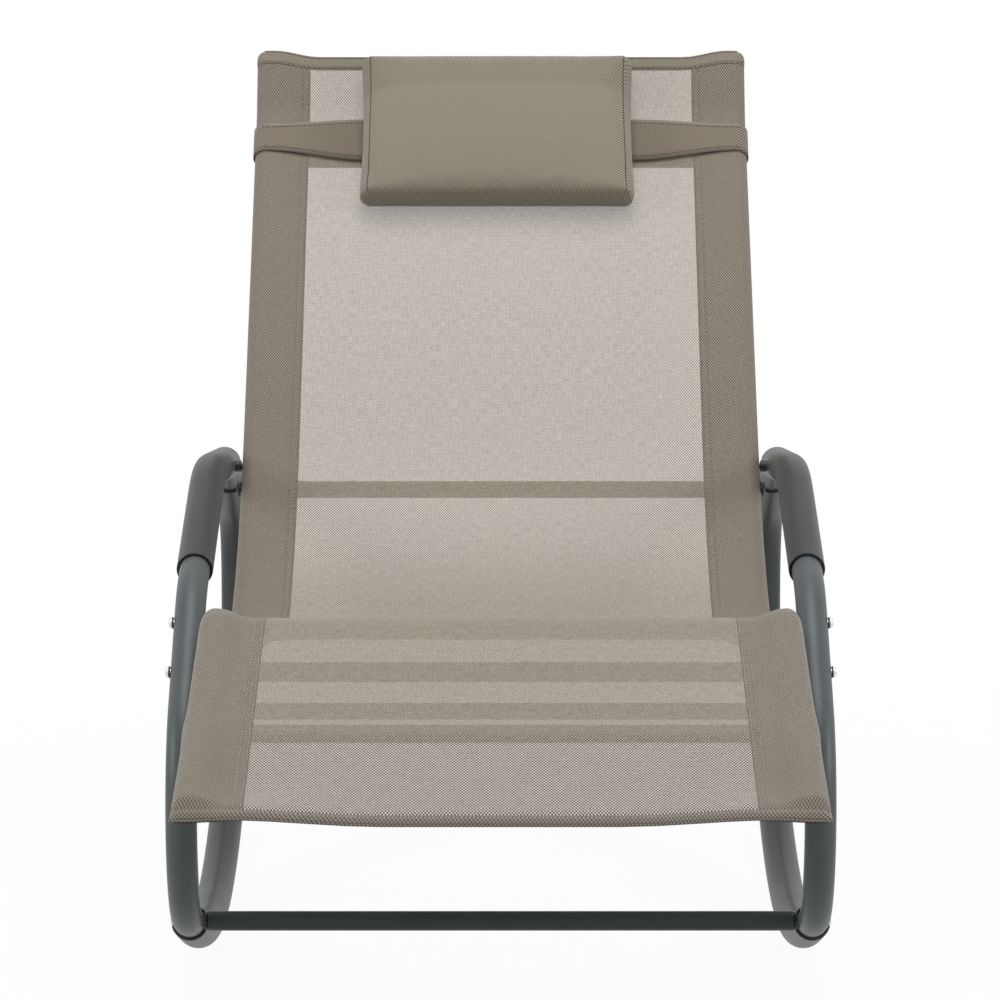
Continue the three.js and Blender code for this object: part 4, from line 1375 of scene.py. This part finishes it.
@dataclass
class HeadPillow:
    """The stuffed pillow and the band that carries it."""

    plan: Plan
    width: float = 0.302
    lower: float = 0.1495
    upper: float = 0.058
    bend: float = 0.09
    pitch: float = 0.006
    lie: float = 0.0168
    edge: float = 0.029
    edge_folds: Point = (0.25, 0.6)
    under_half: float = 0.96
    under_columns: int = 21
    face_columns: int = 33
    swell: float = 0.004
    swell_power: float = 0.6
    crown: float = 0.013
    crown_power: int = 3
    draw_in: float = 0.001
    seam_inset: float = 0.0085
    seam_radius: float = 0.0008
    seam_depth: float = 0.0002
    spare: float = 0.0015
    aside: float = -0.0045
    voxel: float = 0.004
    pressure: float = 4.0
    frames: int = 20
    puff: float = 0.0028
    band_width: float = 0.06
    band_length: float = 1.13
    band_rows: int = 7
    band_flat: float = 0.262
    flat_columns: int = 35
    band_wrap: float = 88.0
    wrap_columns: int = 17
    rail_width: float = 0.039
    climb: float = 0.0045
    band_setback: float = 0.0445
    band_gap: float = 0.01435
    band_thickness: float = 0.0015
    band_cloth: float = 0.8
    stitching: Stitching = Stitching(0.0036, 0.0016, 0.0004, 0.0003)
    stitch_start: float = 0.13
    stitch_low: float = 0.004
    stitch_inset: float = 0.005
    stitch_lift: float = 0.0009

    def build(self) -> None:
        """Builds the band and the pillow."""
        self._band()
        self._pillow()

    def _rings(self) -> list[np.ndarray]:
        """The pillow's pattern.

        Returns:
            Its rings, from its lower end to its upper end.
        """
        corner, top = (self.plan.place(p) for p in self.plan.rail_corners[5:7])
        low = corner - self.plan.back_heading() * self.lower
        line = BentLine.bent([low, corner, corner + unit(top - corner) * self.upper], (self.bend,))
        line = line.between(0, line.total, self.pitch)
        rings = []
        for middle, tilt, run in zip(line.points, line.angles, line.runs):
            bulge = math.sin(math.pi * run / line.total)
            swell = bulge ** self.swell_power
            half = self.width / 2 - self.draw_in * bulge + self.spare
            top = self.lie + self.edge + self.swell * swell + self.spare
            seam = half - self.seam_inset
            face = [(seam * p, top + self.crown * swell * (1 - abs(p) ** self.crown_power))
                    for p in np.linspace(1.0, -1.0, self.face_columns)]
            under = [(half * p, self.lie)
                     for p in np.linspace(-self.under_half, self.under_half, self.under_columns)]
            right = [(half, self.lie + self.edge * fold) for fold in self.edge_folds]
            left = [(-x, z) for x, z in right[::-1]]
            section = np.array([*under, *right, *face, *left])
            flat = middle + section[:, 1:] * up_from(heading(tilt))
            rings.append(np.column_stack([section[:, 0] + self.aside, flat]))
        return rings

    def _pillow(self) -> None:
        """Builds the pillow, stuffs it and lays its seams, whose dark colour is painted shade."""
        rings = self._rings()
        wanted, count = np.concatenate(rings), len(rings[0])
        last = (len(rings) - 1) * count
        ends = [tuple(range(count))[::-1], tuple(range(last, last + count))]
        piece = closed_piece("head_pillow_stuffed", wanted, [*ring_faces(len(rings), count, False), *ends])
        self._stuff(piece)
        self._fit(piece, wanted)
        dress(piece, Finish.CLOTH, body="pillow", node="head_pillow")
        right = self.under_columns + len(self.edge_folds)
        for word, column in (("right", right), ("left", right + self.face_columns - 1)):
            self._seam(word, piece, [ring[column] for ring in rings])

    def _stuff(self, piece: Object) -> None:
        """Blows the pillow up from inside as a cloth, and keeps the result.

        Args:
            piece: The closed pattern.
        """
        remesh = piece.modifiers.new("even", "REMESH")
        remesh.mode, remesh.voxel_size, remesh.use_smooth_shade = "VOXEL", self.voxel, True
        take_shape(piece)
        rest = spots_of(piece)
        cloth = piece.modifiers.new("cloth", "CLOTH")
        cloth.settings.use_pressure = True
        cloth.settings.uniform_pressure_force = self.pressure
        cloth.settings.effector_weights.gravity = 0.0
        cloth.point_cache.frame_start, cloth.point_cache.frame_end = 1, self.frames
        for frame in range(1, self.frames + 1):
            bpy.context.scene.frame_set(frame)
        take_shape(piece)
        bpy.context.scene.frame_set(1)
        move = spots_of(piece) - rest
        far = np.linalg.norm(move, axis=1)[:, None]
        capped = rest + move * np.minimum(1.0, self.puff / np.maximum(far, 1e-9))
        piece.data.vertices.foreach_set("co", capped.ravel())
        soften = piece.modifiers.new("soften", "SMOOTH")
        soften.factor, soften.iterations = 0.5, 2
        finer = piece.modifiers.new("finer", "SUBSURF")
        finer.levels = finer.render_levels = 1
        take_shape(piece)
        piece.data.polygons.foreach_set("use_smooth", [True] * len(piece.data.polygons))

    def _fit(self, piece: Object, wanted: np.ndarray) -> None:
        """Stretches the stuffed pillow back to its pattern's width and length.

        Args:
            piece: The pillow.
            wanted: The pattern's points.
        """
        spots = spots_of(piece)
        for axis in (np.array([1.0, 0.0, 0.0]), np.array([0.0, *self.plan.back_heading()])):
            have, want = spots @ axis, wanted @ axis
            target = (have - have.min()) / np.ptp(have) * np.ptp(want) + want.min()
            spots += (target - have)[:, None] * axis
        piece.data.vertices.foreach_set("co", spots.ravel())
        piece.data.update()

    def _seam(self, word: str, piece: Object, line: list[np.ndarray]) -> None:
        """Lays one seam of the pillow's face as a dark roll sunk a little into the cloth: painted shade of
        the seam's crease.

        Args:
            word: The side that it is on.
            piece: The pillow.
            line: Points of the pattern that the seam follows.
        """
        work = bmesh.new()
        work.from_mesh(piece.data)
        tree = BVHTree.FromBMesh(work)
        work.free()
        spots = []
        for spot in line:
            near, normal, _, _ = tree.find_nearest(Vector(spot))
            spots.append(np.array(near) - np.array(normal) * self.seam_depth)
        # A dark roll: painted shade where the seam creases the cloth.
        seam = fine_roll(f"head_pillow_seam_{word}", np.array(spots), self.seam_radius)
        dress(seam, Finish.DARK_THREAD, body="pillow")

    def _loop(self) -> list[tuple[float, float, float, float]]:
        """The way round both rails that the band takes.

        Returns:
            At each point: its place across and up, half the band's width, and its climb towards the head.
        """
        radius = self.band_gap + self.band_thickness / 2
        turns = np.radians(np.linspace(self.band_wrap, -self.band_wrap, self.wrap_columns))
        arc = [(self.plan.rail_x + radius * math.cos(a), radius * math.sin(a)) for a in turns]
        flat = [(x, radius) for x in np.linspace(-self.band_flat, self.band_flat, self.flat_columns)]
        free = self.width / 2
        places = []
        for x, z in [*flat, *arc, *((-x, -z) for x, z in flat), *((-x, z) for x, z in arc[::-1])]:
            share = 1.0 if z < 0 else ease((abs(x) - free) / (self.plan.rail_x - free))
            width = self.band_width + (self.rail_width - self.band_width) * share
            places.append((x, z, width / 2, self.climb * share))
        return places

    def _band(self) -> None:
        """Builds the band round both rails and its two rows of stitches a side."""
        back = self.plan.back_heading()
        normal = up_from(back)
        middle = self.plan.place(self.plan.rail_corners[5]) - back * self.band_setback
        loop = self._loop()

        def spot(x: float, up: float, along: float) -> np.ndarray:
            """A point of the band in space."""
            return np.array([x, *(middle + back * along + normal * up)])

        rows = [np.array([spot(x, z, c + w * share) for x, z, w, c in loop])
                for share in np.linspace(-1, 1, self.band_rows)]
        piece = mesh_piece("pillow_strap_band", np.concatenate(rows), ring_faces(len(rows), len(loop), False))
        solid = piece.modifiers.new("thickness", "SOLIDIFY")
        solid.thickness, solid.offset = self.band_thickness * self.band_cloth, 0.0
        dress(piece, Finish.STRAP, body="pillow", node="pillow_strap")
        for side in Side:
            front = [p for p in loop if p[1] > self.stitch_low and side.value * p[0] > self.stitch_start]
            front.sort(key=lambda place: place[0])
            for edge, word in ((-1, "low"), (1, "high")):
                points = np.array([spot(x, z + self.stitch_lift, c + edge * (w - self.stitch_inset))
                                   for x, z, w, c in front])
                up = np.tile(np.array([0.0, *normal]), (len(points), 1))
                seam = self.stitching.row(f"pillow_strap_stitch_{side.word}_{word}", points, up)
                dress(seam, Finish.DARK_THREAD, body="pillow")


@dataclass
class Studio:
    """The camera, the lamps and the pale floor."""

    eye: Place = (0.0, -4.7597, 1.0541)
    pitch: float = 7.0
    focal: float = 4.846
    sensor: float = 36.0
    shift: float = -0.0009
    aim: Place = (0.0, 0.0, 0.4)
    lamps: tuple[tuple[str, Place, float, float], ...] = (
        ("overhead", (0.0, -0.1, 3.4), 2.0, 67.0), ("left", (-3.2, -0.9, 1.7), 1.2, 46.0),
        ("right", (3.2, -0.9, 1.7), 1.2, 46.0))
    sky: float = 0.27
    floor_tone: float = 0.9
    floor_half: float = 12.0
    floor_fade: tuple[float, ...] = (0.6, 2.4, 0.95, 1.0)

    def build(self) -> None:
        """Sets the camera, lamps, world and floor."""
        self._camera()
        for lamp in self.lamps:
            self._lamp(*lamp)
        self._world()
        self._floor()
        log.info("studio set")

    def _camera(self) -> None:
        """Places the camera where the photographer stood."""
        data = bpy.data.cameras.new("view")
        data.sensor_width, data.lens = self.sensor, self.focal * self.sensor
        data.clip_end, data.shift_x = 50.0, self.shift
        camera = bpy.data.objects.new("view", data)
        camera.location, camera.rotation_euler = self.eye, (rad(90 - self.pitch), 0.0, 0.0)
        bpy.context.scene.collection.objects.link(camera)
        bpy.context.scene.camera = camera

    def _lamp(self, name: str, place: Place, size: float, power: float) -> None:
        """Places a soft lamp that looks at the chair.

        Args:
            name: The lamp's name.
            place: Where it stands.
            size: Its side, in metres.
            power: Its power, in watts.
        """
        data = bpy.data.lights.new(name, "AREA")
        data.size, data.energy = size, power
        lamp = bpy.data.objects.new(name, data)
        lamp.location = place
        lamp.rotation_euler = (Vector(self.aim) - Vector(place)).to_track_quat("-Z", "Y").to_euler()
        bpy.context.scene.collection.objects.link(lamp)

    def _world(self) -> None:
        """Fills with a pale sky that is white to the camera."""
        world = bpy.data.worlds.new("studio")
        bpy.context.scene.world = world
        n = Nodes(world, "ShaderNodeOutputWorld")
        fill = n.add("ShaderNodeBackground", {"Color": WHITE, "Strength": self.sky})
        seen = n.add("ShaderNodeBackground", {"Color": WHITE, "Strength": 1.0})
        n.close(n.mix(n.background_rays(), fill, seen))

    def _floor(self) -> None:
        """Lays the pale floor, which keeps a soft shadow."""
        n = Nodes(bpy.data.materials.new("pale floor"))
        matte = n.add("ShaderNodeBsdfDiffuse", {"Color": (self.floor_tone,) * 3})
        glow = n.add("ShaderNodeEmission", {"Color": WHITE, "Strength": 1.0})
        reach = n.add("ShaderNodeVectorMath", {0: n.place()}, "Value", operation="LENGTH")
        fade = n.add("ShaderNodeMapRange", dict(enumerate((reach, *self.floor_fade))),
                     interpolation_type="SMOOTHSTEP")
        share = n.math("MULTIPLY", n.background_rays(), fade)
        half = self.floor_half
        corners = np.array([[-half, -half, 0], [half, -half, 0], [half, half, 0], [-half, half, 0]])
        floor = mesh_piece("floor", corners, [(0, 1, 2, 3)])
        floor.data.materials.append(n.close(n.mix(share, matte, glow)))


def dress_kept(frame: dict) -> None:
    """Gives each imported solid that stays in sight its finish.

    Args:
        frame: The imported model's solids and record.
    """
    by_slot = {"frame_paint": Finish.STEEL, "grip_plastic": Finish.GRIP, "black_plastic": Finish.BLACK,
               "black_steel": Finish.DARK_STEEL, "bright_steel": Finish.BRIGHT,
               "sling_mesh": Finish.MESH, "pillow_cloth": Finish.CLOTH}
    slots = {part["node"]: part["material_slot"] for part in frame["record"]["subparts"]}
    for name, node in frame["nodes"].items():
        node.data.materials.clear()
        node.data.materials.append(by_slot[slots[name]].material)
        node.data.polygons.foreach_set("use_smooth", [True] * len(node.data.polygons))
        node.data.set_sharp_from_angle(angle=rad(40))


def main() -> None:
    """Builds the whole chair in order."""
    logging.basicConfig(level=logging.INFO, format="%(name)s: %(message)s")
    bpy.context.scene.view_settings.view_transform = "Standard"
    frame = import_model()
    Studio().build()
    dress_kept(frame)
    plan = Plan()
    for side in Side:
        SideFrame(side, plan).build()
    CrossBars().build()
    Sling(plan).build()
    HeadPillow(plan).build()


if __name__ == "__main__":
    main()
